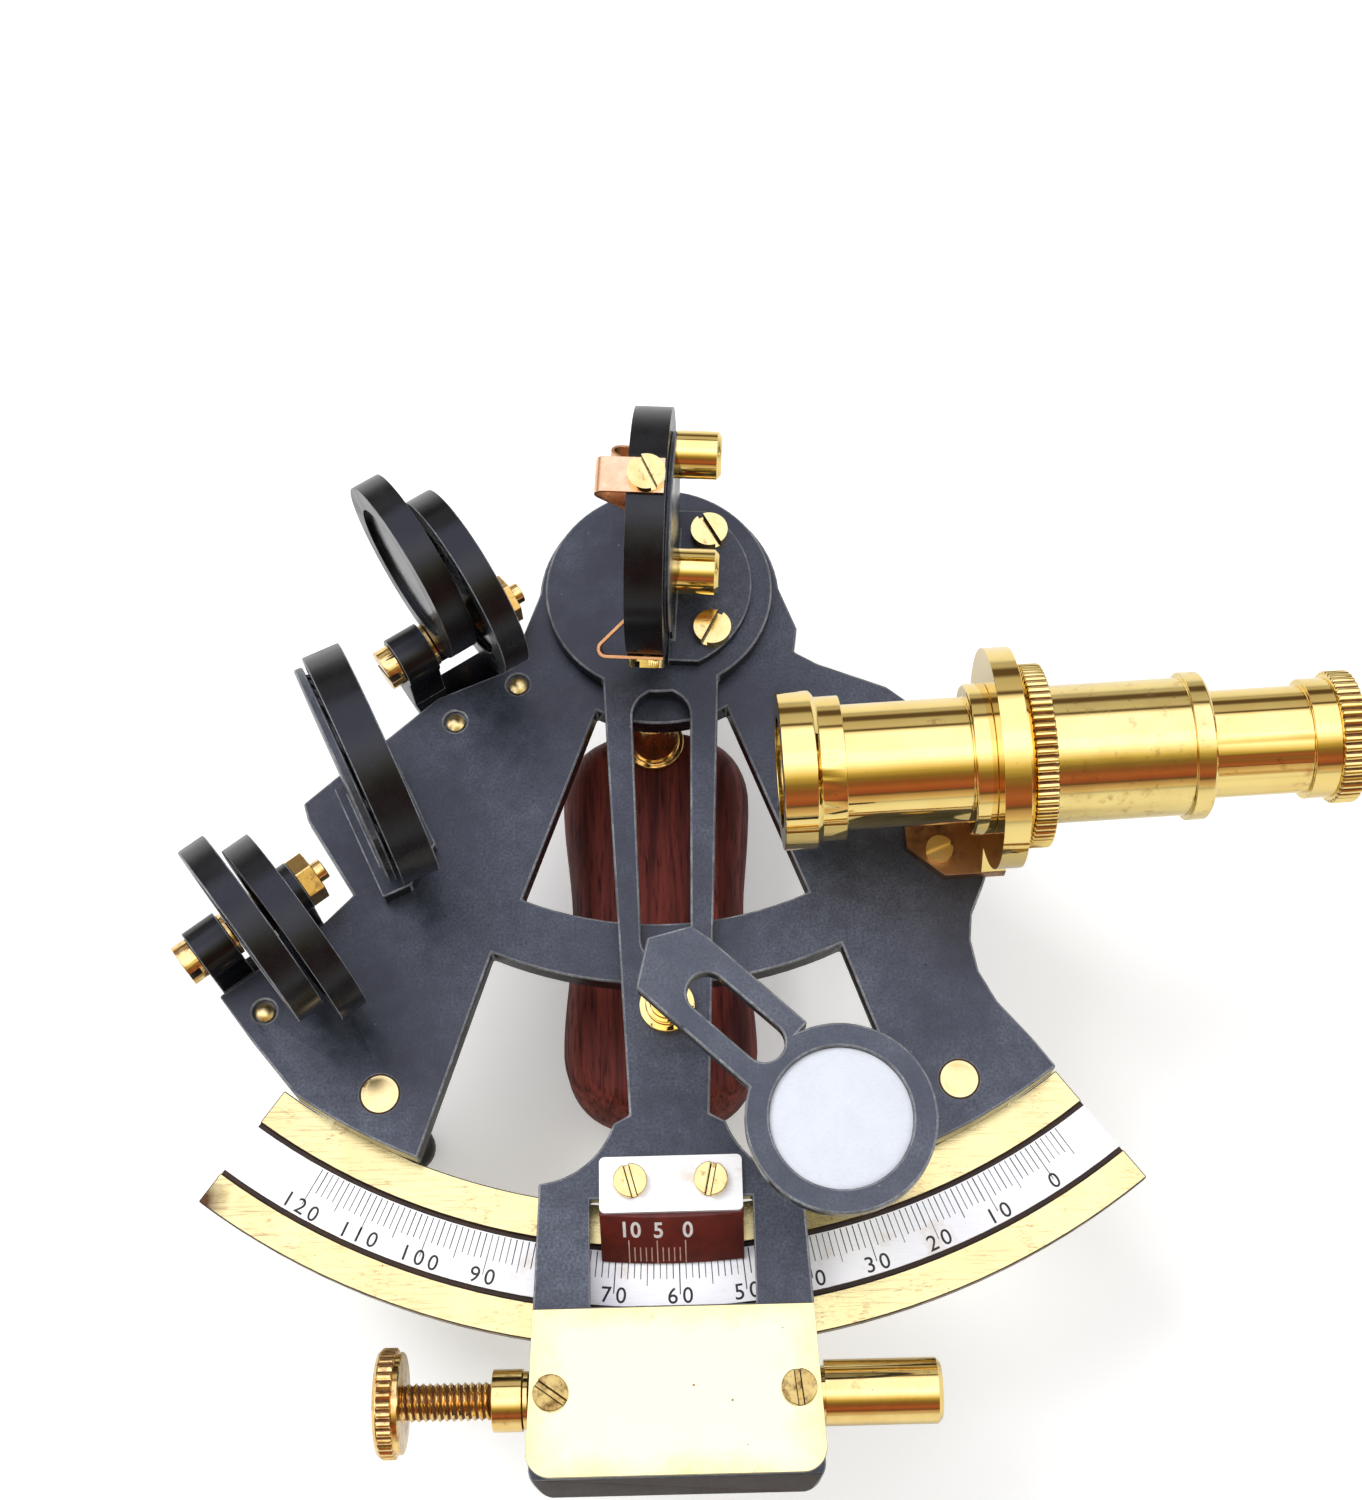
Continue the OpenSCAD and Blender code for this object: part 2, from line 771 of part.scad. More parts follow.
// The four shades with their glasses: near ones stand next to the head of their pin
module index_shade(i) shade_ring(index_shade_pos, index_shade_a, shade_s[i], shade_lean[0][i]);
module index_glass_of(i) shade_glass(index_shade_pos, index_shade_a, shade_s[i], shade_lean[0][i]);
module horizon_shade(i) shade_ring(horizon_shade_pos, horizon_shade_a, shade_s[i], shade_lean[1][i]);
module horizon_glass_of(i) shade_glass(horizon_shade_pos, horizon_shade_a, shade_s[i], shade_lean[1][i]);
module index_shade_near() index_shade(0);
module index_shade_near_glass() index_glass_of(0);
module index_shade_far() index_shade(1);
module index_shade_far_glass() index_glass_of(1);
module horizon_shade_near() horizon_shade(0);
module horizon_shade_near_glass() horizon_glass_of(0);
module horizon_shade_far() horizon_shade(1);
module horizon_shade_far_glass() horizon_glass_of(1);

// Telescope

scope_foot_t = 2.4;
scope_foot_w = 27;
scope_foot_l = 15.5;
rear_r = tube_r + 1.1;
bore_r = rear_r + 0.6;
scope_screw_pos = [for (side = [-1, 1]) [
    scope_pos[0] - 9.6 * cos(scope_a) - side * 8.6 * sin(scope_a),
    scope_pos[1] - 9.6 * sin(scope_a) + side * 8.6 * cos(scope_a)
]];

module telescope_bracket() {
    color("#c8a04a")
        difference() {
            union() {
                translate([scope_pos[0], scope_pos[1], z_top])
                    rotate([0, 0, scope_a])
                        linear_extrude(scope_foot_t)
                            polygon([
                                [ring_t / 2, -scope_foot_w / 2], [-9, -scope_foot_w / 2],
                                [-scope_foot_l, -scope_foot_w / 2 + 6], [-scope_foot_l, scope_foot_w / 2 - 6],
                                [-9, scope_foot_w / 2], [ring_t / 2, scope_foot_w / 2]
                            ]);
                translate([scope_pos[0], scope_pos[1], z_top])
                    rotate([90, 0, 90 + scope_a])
                        translate([0, 0, -ring_t / 2])
                            linear_extrude(ring_t)
                                polygon([
                                    [-scope_foot_w / 2, 0], [-scope_foot_w / 2, 2], [-9, 12], [9, 12],
                                    [scope_foot_w / 2, 2], [scope_foot_w / 2, 0]
                                ]);
                at_scope(-ring_t / 2)
                    cylinder(h = ring_t, r = ring_r);
            }
            at_scope(-ring_t)
                cylinder(h = 2 * ring_t, r = bore_r);
            for (p = scope_screw_pos)
                translate([p[0], p[1], z_top - 1])
                    cylinder(h = scope_foot_t + 2, d = 3 + 2 * fit);
        }
}

module telescope_tube() {
    tube_in = tube_r - tube_wall;
    flange_s = -ring_t / 2 - 3.8;
    color("#d4ac55")
        at_scope(0)
            rotate_extrude()
                polygon([
                    [tube_in, scope_front + bezel_l], [tube_r, scope_front + bezel_l],
                    [tube_r, flange_s], [tube_r + 2, flange_s],
                    [tube_r + 2.3, flange_s + 0.3], [tube_r + 2.3, -ring_t / 2],
                    [bore_r - fit, -ring_t / 2], [bore_r - fit, lock_s + lock_t],
                    [rear_r, lock_s + lock_t], [rear_r, end_collar_s], [rear_r + 0.9, end_collar_s],
                    [rear_r + 0.9, end_collar_s + end_collar_l - 0.5],
                    [rear_r + 0.4, end_collar_s + end_collar_l],
                    [draw_r + run_fit, end_collar_s + end_collar_l], [draw_r + run_fit, end_collar_s - 8],
                    [tube_in, end_collar_s - 8]
                ]);
}

module telescope_lock_ring() {
    color("#b5893a")
        difference() {
            union() {
                at_scope(lock_s)
                    knurled_disc(16.4, 60, lock_t);
                at_scope(ring_t / 2)
                    cylinder(h = lock_s - ring_t / 2 + 1, r = bore_r + 1.2);
            }
            at_scope(0)
                cylinder(h = lock_s + lock_t + 1, r = bore_r);
        }
}

module objective_ring() {
    color("#d4ac55")
        at_scope(scope_front)
            rotate_extrude()
                polygon([
                    [tube_r - 1.2, 0], [14.1, 0], [14.1, bezel_l - 0.8], [13.3, bezel_l],
                    [12.9, bezel_l], [12.9, bezel_l + neck_ring_l], [tube_r + fit, bezel_l + neck_ring_l],
                    [tube_r + fit, bezel_l - seat], [tube_r - 1.2, bezel_l - seat]
                ]);
}

// Biconvex lens of the radius r, bulging by sag on both sides of a rim of thickness t
module lens(r, t, sag) {
    big = (r * r + sag * sag) / (2 * sag);
    half_a = asin(r / big);
    steps = 16;
    side = [for (i = [0 : steps])
        let (a = half_a * (1 - i / steps))
        [i < steps ? big * sin(a) : 0, t / 2 + sag - big * (1 - cos(a))]];
    rotate_extrude()
        polygon(concat(side, [for (i = [steps : -1 : 0]) [side[i][0], -side[i][1]]]));
}

module objective_lens() {
    color("#bcd3dd")
        at_scope(scope_front + 3.4)
            lens(tube_r - 1.2 - fit, 2, 1.1);
}

module draw_tube() {
    inner = draw_r - tube_wall;
    color("#d4ac55")
        at_scope(0)
            rotate_extrude()
                polygon([
                    [inner, end_collar_s - draw_inside], [draw_r, end_collar_s - draw_inside],
                    [draw_r, draw_end_s], [draw_r + 1.1, draw_end_s], [draw_r + 1.1, draw_end_s + 4.6],
                    [draw_r - 0.6, draw_end_s + 4.6], [draw_r - 0.6, draw_end_s + 3], [inner, draw_end_s + 3]
                ]);
}

module eyepiece_ring() {
    color("#b5893a")
        at_scope(draw_end_s + 4.6) {
            difference() {
                knurled_disc(11.8, 44, 4.4);
                translate([0, 0, 1.6])
                    cylinder(h = 4, r1 = 4, r2 = 8.2);
                translate([0, 0, -1])
                    cylinder(h = 8, r = 4);
            }
            translate([0, 0, -1.5])
                ring(draw_r - 0.7, 6.5, 1.5 + eps);
        }
}

module eyepiece_lens() {
    color("#bcd3dd")
        at_scope(draw_end_s + 3.1)
            translate([0, 0, -1.5])
                lens(draw_r - tube_wall - fit, 1.6, 0.6);
}

// Index arm

// Plan of the bar and the foot of the index arm, between the pivot and the outer end
module arm_outline() {
    neck_r = 15;
    difference() {
        union() {
            polygon([
                [-arm_top_w / 2, -disc_r * 0.5], [arm_top_w / 2, -disc_r * 0.5],
                [arm_low_w / 2, -neck_y], [10.2, -neck_y - 1.6], [foot_in_w / 2, -neck_y - 1.6],
                [foot_half_w(flare_y + 3), -flare_y - 3], [-foot_half_w(flare_y + 3), -flare_y - 3],
                [-foot_in_w / 2, -neck_y - 1.6], [-10.2, -neck_y - 1.6], [-arm_low_w / 2, -neck_y]
            ]);
            foot_plan(flare_y + 2, foot_y, 0);
        }
        for (side = [-1, 1])
            translate([side * (foot_in_w / 2 + 1.2), -flare_y + neck_r])
                circle(r = neck_r);
        arm_slot();
    }
}

// Plan of the foot between two distances from the pivot, its outer corners rounded
module foot_plan(y0, y1, inset) {
    half0 = foot_half_w(y0) - inset;
    half1 = foot_half_w(y1 - corner_r) - inset;
    x1 = half1 - corner_r;
    polygon(concat(
        [[-half0, -y0], [half0, -y0]],
        [for (a = [0 : -9 : -90]) [x1 + corner_r * cos(a), -y1 + corner_r + corner_r * sin(a)]],
        [for (a = [-90 : -9 : -180]) [-x1 + corner_r * cos(a), -y1 + corner_r + corner_r * sin(a)]]
    ));
}

// Slot of the arm, round at its upper end and narrower at its lower end
module arm_slot() {
    translate([0, -slot_y0])
        circle(d = slot_top_w);
    polygon([
        [-slot_top_w / 2, -slot_y0], [slot_top_w / 2, -slot_y0],
        [slot_low_w / 2, -slot_y1], [-slot_low_w / 2, -slot_y1]
    ]);
    translate([0, -slot_y1])
        circle(d = slot_low_w);
}

// Round hole of the diameter d through the index arm at x, y
module arm_hole(x, y, d) {
    translate([x, y, -1])
        cylinder(h = arm_t + 2, d = d + 2 * fit);
}

module index_arm() {
    color("#2c3138")
        translate([0, 0, z_arm])
            difference() {
                union() {
                    linear_extrude(arm_t)
                        arm_outline();
                    cylinder(h = arm_t, r = disc_r);
                }
                arm_hole(0, 0, 5);
                arm_hole(0, -magnifier_y, 4);
                translate([-window_w / 2, -window_y1, -1])
                    cube([window_w, window_y1 - window_y0, arm_t + 2]);
                for (x = vernier_screw_x)
                    arm_hole(x, -vernier_screw_y, 3);
                for (y = base_screw_y)
                    arm_hole(base_screw_x, y, 3);
                for (x = cover_screw_x)
                    arm_hole(x, -screw_y, 3);
                for (x = block_screw_x)
                    translate([x, -block_screw_y, -1])
                        cylinder(h = 3.2, d = 2.6 + 2 * fit);
            }
}

module index_axle() {
    color("#8d8f92")
        union() {
            translate([0, 0, 23.9])
                cylinder(h = z_arm - 23.9, d = axle_d);
            translate([0, 0, z_arm - eps])
                cylinder(h = arm_t - 0.1, d = 5);
            translate([0, 0, 17])
                cylinder(h = 7, d = 5);
        }
}

module axle_nut() {
    color("#b8923f")
        difference() {
            union() {
                translate([0, 0, 18.4])
                    cylinder(h = 4, r = 5.4, $fn = 6);
                translate([0, 0, 22.4])
                    cylinder(h = 1.4, d = 12.6);
            }
            translate([0, 0, 17])
                cylinder(h = 8, d = 5 + 2 * fit);
        }
}

// Index mirror on its D shaped base

base_screw_x = 10.2;
base_screw_y = [-10.6, 10.6];
mirror_back_t = 1;

module mirror_base() {
    edge = mirror_frame_t / 2 + seat;
    color("#2c3138")
        difference() {
            at_mirror([index_mirror_x, 0], index_mirror_a, z_arm_top) {
                linear_extrude(2.4)
                    intersection() {
                        circle(r = 18.9);
                        translate([edge, -16.4])
                            square([20, 32.8]);
                    }
                translate([edge, -12, 0])
                    cube([mirror_back_t, 24, index_mirror_r]);
                translate([edge, 0, index_mirror_r])
                    rotate([0, 90, 0])
                        cylinder(h = mirror_back_t, r = 18.6);
            }
            for (y = base_screw_y)
                translate([base_screw_x, y, z_arm_top - 1])
                    cylinder(h = 5, d = 3 + 2 * fit);
        }
}

// Cheese head screws of the mirror base and the three radial ones of the clips
module mirror_screws() {
    color("#c8a04a") {
        for (y = base_screw_y)
            translate([base_screw_x, y, z_arm_top + 2.4])
                slotted_screw(7.2, 2, 3, arm_t + 2, y > 0 ? 118 : 62);
        at_clips()
            translate([0, 0, index_mirror_r + seat + clip_t])
                slotted_screw(6.8, 1.5, 2, 1.8, 118);
    }
}

clip_t = 0.6;
clip_w = 6.8;

// Places its children at the three clips round the index mirror, Z pointing outwards
module at_clips() {
    at_mirror([index_mirror_x, 0], index_mirror_a, z_index_mirror)
        for (a = [4, 118, 244])
            rotate([a, 0, 0])
                children();
}

// Outline of a strip of the thickness t along a path
function strip(path, t) =
    let (
        n = len(path) - 1,
        along = [for (i = [0 : n]) path[min(i + 1, n)] - path[max(i - 1, 0)]],
        side = [for (v = along) [-v[1], v[0]] / norm(v) * t / 2]
    )
    concat([for (i = [0 : n]) path[i] + side[i]], [for (i = [n : -1 : 0]) path[i] - side[i]]);

module mirror_clips() {
    bend_r = 1.4;
    bend_x = -7.4;
    bend_z = clip_t / 2 - bend_r;
    path = concat(
        [[3.2, clip_t / 2]],
        [for (a = [90 : 16.75 : 224]) [bend_x + bend_r * cos(a), bend_z + bend_r * sin(a)]],
        [[-2.95, -7.7]]
    );
    color("#c27a4e")
        at_clips()
            difference() {
                translate([0, clip_w / 2, index_mirror_r + seat])
                    rotate([90, 0, 0])
                        linear_extrude(clip_w)
                            polygon(strip(path, clip_t));
                translate([0, 0, index_mirror_r - 1])
                    cylinder(h = 3, d = 2 + 2 * fit);
            }
}

module index_mirror_frame() {
    color("#23262b")
        difference() {
            at_mirror([index_mirror_x, 0], index_mirror_a, z_index_mirror)
                mirror_cell(index_mirror_r, -1);
            at_clips()
                translate([0, 0, index_mirror_r - 2])
                    cylinder(h = 3, d = 2 + 2 * fit);
        }
}

module index_glass() {
    color("#cfd8dc")
        at_mirror([index_mirror_x, 0], index_mirror_a, z_index_mirror)
            mirror_disc(index_mirror_r, -1);
}

module mirror_adjusters() {
    x = mirror_frame_t / 2 + seat + mirror_back_t;
    color("#c8a04a")
        at_mirror([index_mirror_x, 0], index_mirror_a, z_index_mirror)
            for (p = [[11, 9.6], [-1.5, -12.4]])
                translate([x, p[0], p[1]])
                    rotate([0, 90, 0]) {
                        cylinder(h = 7.4, d = adjuster_d);
                        translate([0, 0, 7.4 - eps])
                            cylinder(h = 0.8, d1 = adjuster_d, d2 = adjuster_d - 1.6);
                    }
}

// Vernier and foot

module vernier_plate() {
    color("#e9e7df")
        translate([0, 0, z_arm_top])
            linear_extrude(vernier_plate_t)
                difference() {
                    translate([0, -(vernier_plate_y0 + vernier_plate_y1) / 2])
                        polygon(rounded(vernier_plate_w, vernier_plate_y1 - vernier_plate_y0, 1));
                    for (x = vernier_screw_x)
                        translate([x, -vernier_screw_y])
                            circle(d = 3 + 2 * fit);
                }
}

module vernier_strip() {
    z0 = z_limb_top + vernier_gap;
    edge_r = read_r + 1.6;
    color("#6a2a20")
        intersection() {
            rotate([0, 0, -90 - 8])
                rotate_extrude(angle = 16)
                    polygon([
                        [vernier_y0 - 2, z0], [edge_r, z0], [edge_r, z0 + 0.3],
                        [vernier_plate_y1 + 0.8, z_arm_top - seat], [vernier_y0 - 2, z_arm_top - seat]
                    ]);
            translate([-vernier_plate_w / 2, -edge_r - 1, 0])
                cube([vernier_plate_w, edge_r + 1 - vernier_y0, z_arm_top]);
        }
}

module vernier_screws() {
    color("#c8a04a")
        for (x = vernier_screw_x)
            translate([x, -vernier_screw_y, z_arm_top + vernier_plate_t])
                slotted_screw(5.9, 1.5, 3, arm_t + 0.5, x < 0 ? 105 : 78);
}

module foot_block() {
    z0 = z_arm - block_h;
    color("#2c3138")
        difference() {
            intersection() {
                translate([0, 0, z0])
                    linear_extrude(block_h)
                        foot_plan(block_y0, foot_y + foot_draft, 0.3);
                translate([-40, 0, 0])
                    rotate([90, 0, 90])
                        linear_extrude(80)
                            polygon([
                                [-block_y0 + 1, z0 - 1], [-foot_y - foot_draft, z0 - 1],
                                [-foot_y - foot_draft, z0], [-foot_y, z_arm],
                                [-foot_y, z_arm + 1], [-block_y0 + 1, z_arm + 1]
                            ]);
            }
            translate([-cavity_w / 2, -cavity_y1, z0 - 1])
                cube([cavity_w, cavity_y1 - block_y0 + 4, block_h]);
            translate([-40, -screw_y, z_screw])
                rotate([0, 90, 0])
                    cylinder(h = 40, d = tangent_d + 2 * run_fit);
            translate([-foot_out_w / 2 - 1, -screw_y, z_screw])
                rotate([0, 90, 0])
                    cylinder(h = 7, d = 8.4 + 2 * fit);
            translate([0, -screw_y, z_screw])
                rotate([0, 90, 0])
                    cylinder(h = 40, d = 9 + 2 * fit);
            for (x = block_screw_x)
                translate([x, -block_screw_y, z0 - 1]) {
                    cylinder(h = block_h + 2, d = 2.6 + 2 * fit);
                    cylinder(h = 2.7, d = 5.6);
                }
        }
}

// Screws that hold the foot block to the arm from below
module block_screws() {
    color("#b5893a")
        for (x = block_screw_x)
            translate([x, -block_screw_y, z_arm - block_h + 1.7])
                rotate([180, 0, 0])
                    slotted_screw(5.2, 1.5, 2.6, block_h + 0.3, 25);
}

module cover_plate() {
    color("#d9b25c")
        translate([0, 0, z_arm_top])
            linear_extrude(cover_t)
                difference() {
                    foot_plan(cover_y0, foot_y, 0.1);
                    for (x = cover_screw_x)
                        translate([x, -screw_y])
                            circle(d = 3 + 2 * fit);
                }
}

module cover_screws() {
    color("#b5893a")
        for (x = cover_screw_x)
            translate([x, -screw_y, z_cover])
                slotted_screw(6, 1.4, 3, arm_t + cover_t - 0.1, x < 0 ? 145 : 96);
}

module tangent_collar() {
    x1 = foot_half_w(screw_y + 6) + 0.1;
    color("#d4ac55")
        translate([0, -screw_y, z_screw])
            rotate([0, -90, 0])
                difference() {
                    union() {
                        translate([0, 0, foot_out_w / 2 - 5.8])
                            cylinder(h = 7, d = 8.4);
                        translate([0, 0, x1])
                            cylinder(h = 1, d = 9.6);
                        translate([0, 0, x1 + 1 - eps])
                            cylinder(h = 5.2, d = 10.4);
                    }
                    translate([0, 0, 10])
                        cylinder(h = 30, d = tangent_d + 2 * run_fit);
                }
}

barrel_x0 = cavity_w / 2 + 0.5;
barrel_x1 = foot_out_w / 2 + barrel_l;
spring_wire = 0.9;
plunger_head_x = 20;

module spring_barrel() {
    color("#d4ac55")
        translate([0, -screw_y, z_screw])
            rotate([0, 90, 0])
                difference() {
                    union() {
                        translate([0, 0, barrel_x0])
                            cylinder(h = barrel_x1 - barrel_x0, d = 9);
                        translate([0, 0, foot_out_w / 2 + 0.1])
                            cylinder(h = barrel_l - 0.9, d = barrel_d);
                        translate([0, 0, barrel_x1 - 0.8 - eps])
                            cylinder(h = 0.8, d1 = barrel_d, d2 = barrel_d - 1.6);
                    }
                    translate([0, 0, barrel_x0 + 1.5])
                        cylinder(h = barrel_x1 - barrel_x0 - 4.5, d = 7.6);
                    translate([0, 0, barrel_x0 - 1])
                        cylinder(h = 4, d = 4 + 2 * run_fit);
                }
}

module spring_plunger() {
    color("#8d8f92")
        translate([0, -screw_y, z_screw])
            rotate([0, 90, 0]) {
                translate([0, 0, lug_w / 2 + seat])
                    cylinder(h = plunger_head_x - lug_w / 2, d = 4);
                translate([0, 0, plunger_head_x])
                    cylinder(h = 2, d = 7.6 - 2 * run_fit);
            }
}

// Coil spring between the plunger and the barrel's end, one tube swept along a helix
module clamp_spring() {
    turns = 7;
    steps = 16;
    sides = 6;
    x0 = plunger_head_x + 2 + spring_wire / 2 + 0.1;
    x1 = barrel_x1 - 3 - spring_wire / 2 - 0.1;
    coil_r = 3.8 - spring_wire / 2 - 0.15;
    n = turns * steps;
    centres = [for (i = [0 : n])
        let (a = 360 * i / steps)
        [x0 + (x1 - x0) * i / n, coil_r * cos(a), coil_r * sin(a)]];
    points = [for (i = [0 : n]) for (k = [0 : sides - 1])
        let (a = 360 * i / steps, b = 360 * k / sides, q = spring_wire / 2 * cos(b))
        centres[i] + [spring_wire / 2 * sin(b), q * cos(a), q * sin(a)]];
    sides_faces = [for (i = [0 : n - 1]) for (k = [0 : sides - 1]) for (half = [0, 1])
        let (a = i * sides + k, b = i * sides + (k + 1) % sides)
        half == 0 ? [a, b, b + sides] : [a, b + sides, a + sides]];
    first = [for (k = [sides - 1 : -1 : 2]) [0, k, k - 1]];
    last = [for (k = [2 : sides - 1]) [n * sides, n * sides + k - 1, n * sides + k]];
    color("#9a9da1")
        translate([0, -screw_y, z_screw])
            polyhedron(points, concat(sides_faces, first, last));
}

module clamp_slider() {
    lug_y0 = screw_y - 4;
    lug_y1 = screw_y + 4;
    color("#b8923f")
        difference() {
            union() {
                translate([-lug_w / 2, -lug_y1, jaw_z])
                    cube([lug_w, lug_y1 - lug_y0, z_arm - 1.2 - jaw_z]);
                translate([-lug_w / 2, -lug_y0 - eps, z_limb_top + limb_gap])
                    cube([lug_w, lug_y0 - lip_y, lip_t]);
                translate([-clamp_w / 2, -lug_y1, jaw_z])
                    cube([clamp_w, lug_y1 - clamp_y + 8, jaw_t]);
            }
            translate([0, -clamp_y, jaw_z - 1])
                cylinder(h = jaw_t + 2, d = clamp_d + 2 * run_fit);
        }
}

module clamp_gib() {
    color("#b8923f")
        difference() {
            translate([-clamp_w / 2 + 1, -clamp_y - 6.5, gib_z])
                cube([clamp_w - 2, 13, gib_t]);
            translate([0, -clamp_y, gib_z - eps])
                cylinder(h = gib_t / 2, d = clamp_d - 1.4 + 2 * run_fit);
        }
}

module clamp_screw() {
    knob_t = 6;
    color("#b5893a")
        translate([0, -clamp_y, 0]) {
            translate([0, 0, jaw_z - 2 - eps])
                cylinder(h = gib_z - jaw_z + 2 - 0.1, d = clamp_d);
            translate([0, 0, gib_z - 0.2])
                cylinder(h = gib_t / 2, d = clamp_d - 1.4);
            translate([0, 0, jaw_z - 2 - knob_t])
                knurled_disc(clamp_knob_r, 36, knob_t, 0.5);
            translate([0, 0, jaw_z - 2.1])
                cylinder(h = 1.4, d = 9);
        }
}

module tangent_screw() {
    knob_x = -foot_out_w / 2 - tangent_l;
    flange_t = 0.7;
    knurl_t = 3.2;
    chamfer_t = 0.5;
    color("#d4ac55")
        translate([0, -screw_y, z_screw])
            rotate([0, 90, 0]) {
                translate([0, 0, knob_x])
                    cylinder(h = -knob_x - lug_w / 2 - seat, d = tangent_d);
                translate([0, 0, knob_x - flange_t])
                    cylinder(h = flange_t + 0.1, d = tangent_head_d - 1.5);
                translate([0, 0, knob_x - flange_t - knurl_t])
                    knurled_disc(tangent_head_d / 2, 44, knurl_t, 0.5);
                translate([0, 0, knob_x - flange_t - knurl_t - chamfer_t])
                    cylinder(h = chamfer_t + 0.1, d1 = tangent_head_d - 2.9, d2 = tangent_head_d - 1.5);
            }
}

// Magnifier

module magnifier_post() {
    z_mag = z_top + magnifier_h;
    color("#c8a04a")
        translate([0, -magnifier_y, z_arm_top])
            difference() {
                union() {
                    cylinder(h = 1.6, d = 10);
                    cylinder(h = 3, d = 7.6);
                    cylinder(h = z_mag - z_arm_top - 0.1, d = 6);
                    translate([0, 0, z_mag - z_arm_top - 2.1])
                        cylinder(h = 2, d = 8);
                    translate([0, 0, -arm_t + 0.1])
                        cylinder(h = arm_t, d = 4);
                }
                translate([0, 0, z_mag - z_arm_top - 8])
                    cylinder(h = 9, d = 3 + 2 * run_fit);
            }
}

// Frame of the magnifier: X runs from its pivot to its lens
module at_magnifier() {
    translate([0, -magnifier_y, z_top + magnifier_h])
        rotate([0, 0, magnifier_rest_a - 90])
            children();
}

module magnifier_arm() {
    color("#2c3138")
        at_magnifier() {
            linear_extrude(magnifier_t)
                difference() {
                    union() {
                        polygon([
                            [-0.7, -6.2], [-5.2, 1.6], [-1, 8.2], [2.6, 8.6],
                            [magnifier_l - magnifier_r + 1.4, 8.4], [magnifier_l - magnifier_r + 1.4, -6.4]
                        ]);
                        translate([magnifier_l, 0])
                            circle(r = magnifier_r);
                    }
                    translate([magnifier_l, 0])
                        circle(r = lens_r + fit);
                    for (x = [8.8, magnifier_l - magnifier_r - 1.8])
                        translate([x, 1.1])
                            circle(r = 3.4);
                    translate([8.8, -2.3])
                        square([magnifier_l - magnifier_r - 10.6, 6.8]);
                }
            translate([magnifier_l, 0, 0])
                ring(lens_r + 0.6, lens_r - 1, 0.6);
            translate([0, 0, -7])
                cylinder(h = 8, d = 3);
        }
}

module magnifier_lens() {
    color("#c9ced3")
        at_magnifier()
            translate([magnifier_l, 0, 0.6 + 0.9 + seat])
                lens(lens_r, 1.2, 0.3);
}

frame_plate();
limb_arc();
scale_strip();
limb_pins();
legs();
centre_bearing();
handle_grip();
handle_posts();
handle_screws();
horizon_bracket();
horizon_frame();
horizon_glass();
index_shade_bracket();
horizon_shade_bracket();
shade_pins();
shade_nuts();
frame_screws();
telescope_bracket();
telescope_tube();
telescope_lock_ring();
objective_ring();
objective_lens();
index_arm();
index_axle();
axle_nut();
mirror_base();
mirror_screws();
index_mirror_frame();
index_glass();
mirror_adjusters();
mirror_clips();
vernier_plate();
vernier_strip();
vernier_screws();
foot_block();
block_screws();
cover_plate();
cover_screws();
tangent_collar();
spring_barrel();
magnifier_post();
clamp_slider();
spring_plunger();
clamp_spring();
clamp_gib();
clamp_screw();
tangent_screw();
magnifier_arm();
magnifier_lens();
index_shade_near();
index_shade_near_glass();
index_shade_far();
index_shade_far_glass();
horizon_shade_near();
horizon_shade_near_glass();
horizon_shade_far();
horizon_shade_far_glass();
draw_tube();
eyepiece_ring();
eyepiece_lens();
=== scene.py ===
"""Finishes and fine detail for the vernier sextant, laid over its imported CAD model."""
import json
import math
import random

import bmesh
import bpy
from mathutils import Matrix, Vector
from mathutils.bvhtree import BVHTree
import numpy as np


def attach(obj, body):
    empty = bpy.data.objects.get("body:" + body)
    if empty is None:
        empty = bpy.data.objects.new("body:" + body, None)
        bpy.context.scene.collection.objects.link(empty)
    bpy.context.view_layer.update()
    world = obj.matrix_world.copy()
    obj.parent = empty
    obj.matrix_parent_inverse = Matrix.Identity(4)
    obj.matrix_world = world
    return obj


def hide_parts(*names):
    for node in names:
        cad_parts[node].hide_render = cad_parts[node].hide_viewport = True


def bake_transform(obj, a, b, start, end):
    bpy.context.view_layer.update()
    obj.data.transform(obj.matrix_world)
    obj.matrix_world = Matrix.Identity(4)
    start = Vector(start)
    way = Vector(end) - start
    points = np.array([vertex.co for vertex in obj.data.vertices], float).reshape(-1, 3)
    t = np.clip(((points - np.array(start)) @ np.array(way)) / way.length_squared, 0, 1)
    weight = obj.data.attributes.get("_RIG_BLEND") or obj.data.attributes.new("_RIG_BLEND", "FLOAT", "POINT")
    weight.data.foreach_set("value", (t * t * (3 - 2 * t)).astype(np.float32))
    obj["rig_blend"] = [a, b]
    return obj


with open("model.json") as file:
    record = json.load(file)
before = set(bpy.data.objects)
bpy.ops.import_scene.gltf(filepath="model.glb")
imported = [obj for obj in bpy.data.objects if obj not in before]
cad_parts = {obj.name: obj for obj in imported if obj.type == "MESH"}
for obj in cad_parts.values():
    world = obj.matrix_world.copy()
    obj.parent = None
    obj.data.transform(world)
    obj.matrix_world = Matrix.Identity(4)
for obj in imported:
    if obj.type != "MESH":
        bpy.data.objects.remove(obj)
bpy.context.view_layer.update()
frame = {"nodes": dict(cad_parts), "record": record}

MM = 0.001
MM_PER_M = 1000.0
nodes = frame["nodes"]
body_of_node = {
    name: body
    for body, members in frame["record"]["behaviour"]["bodies"].items()
    for name in members
}


# Shader helpers

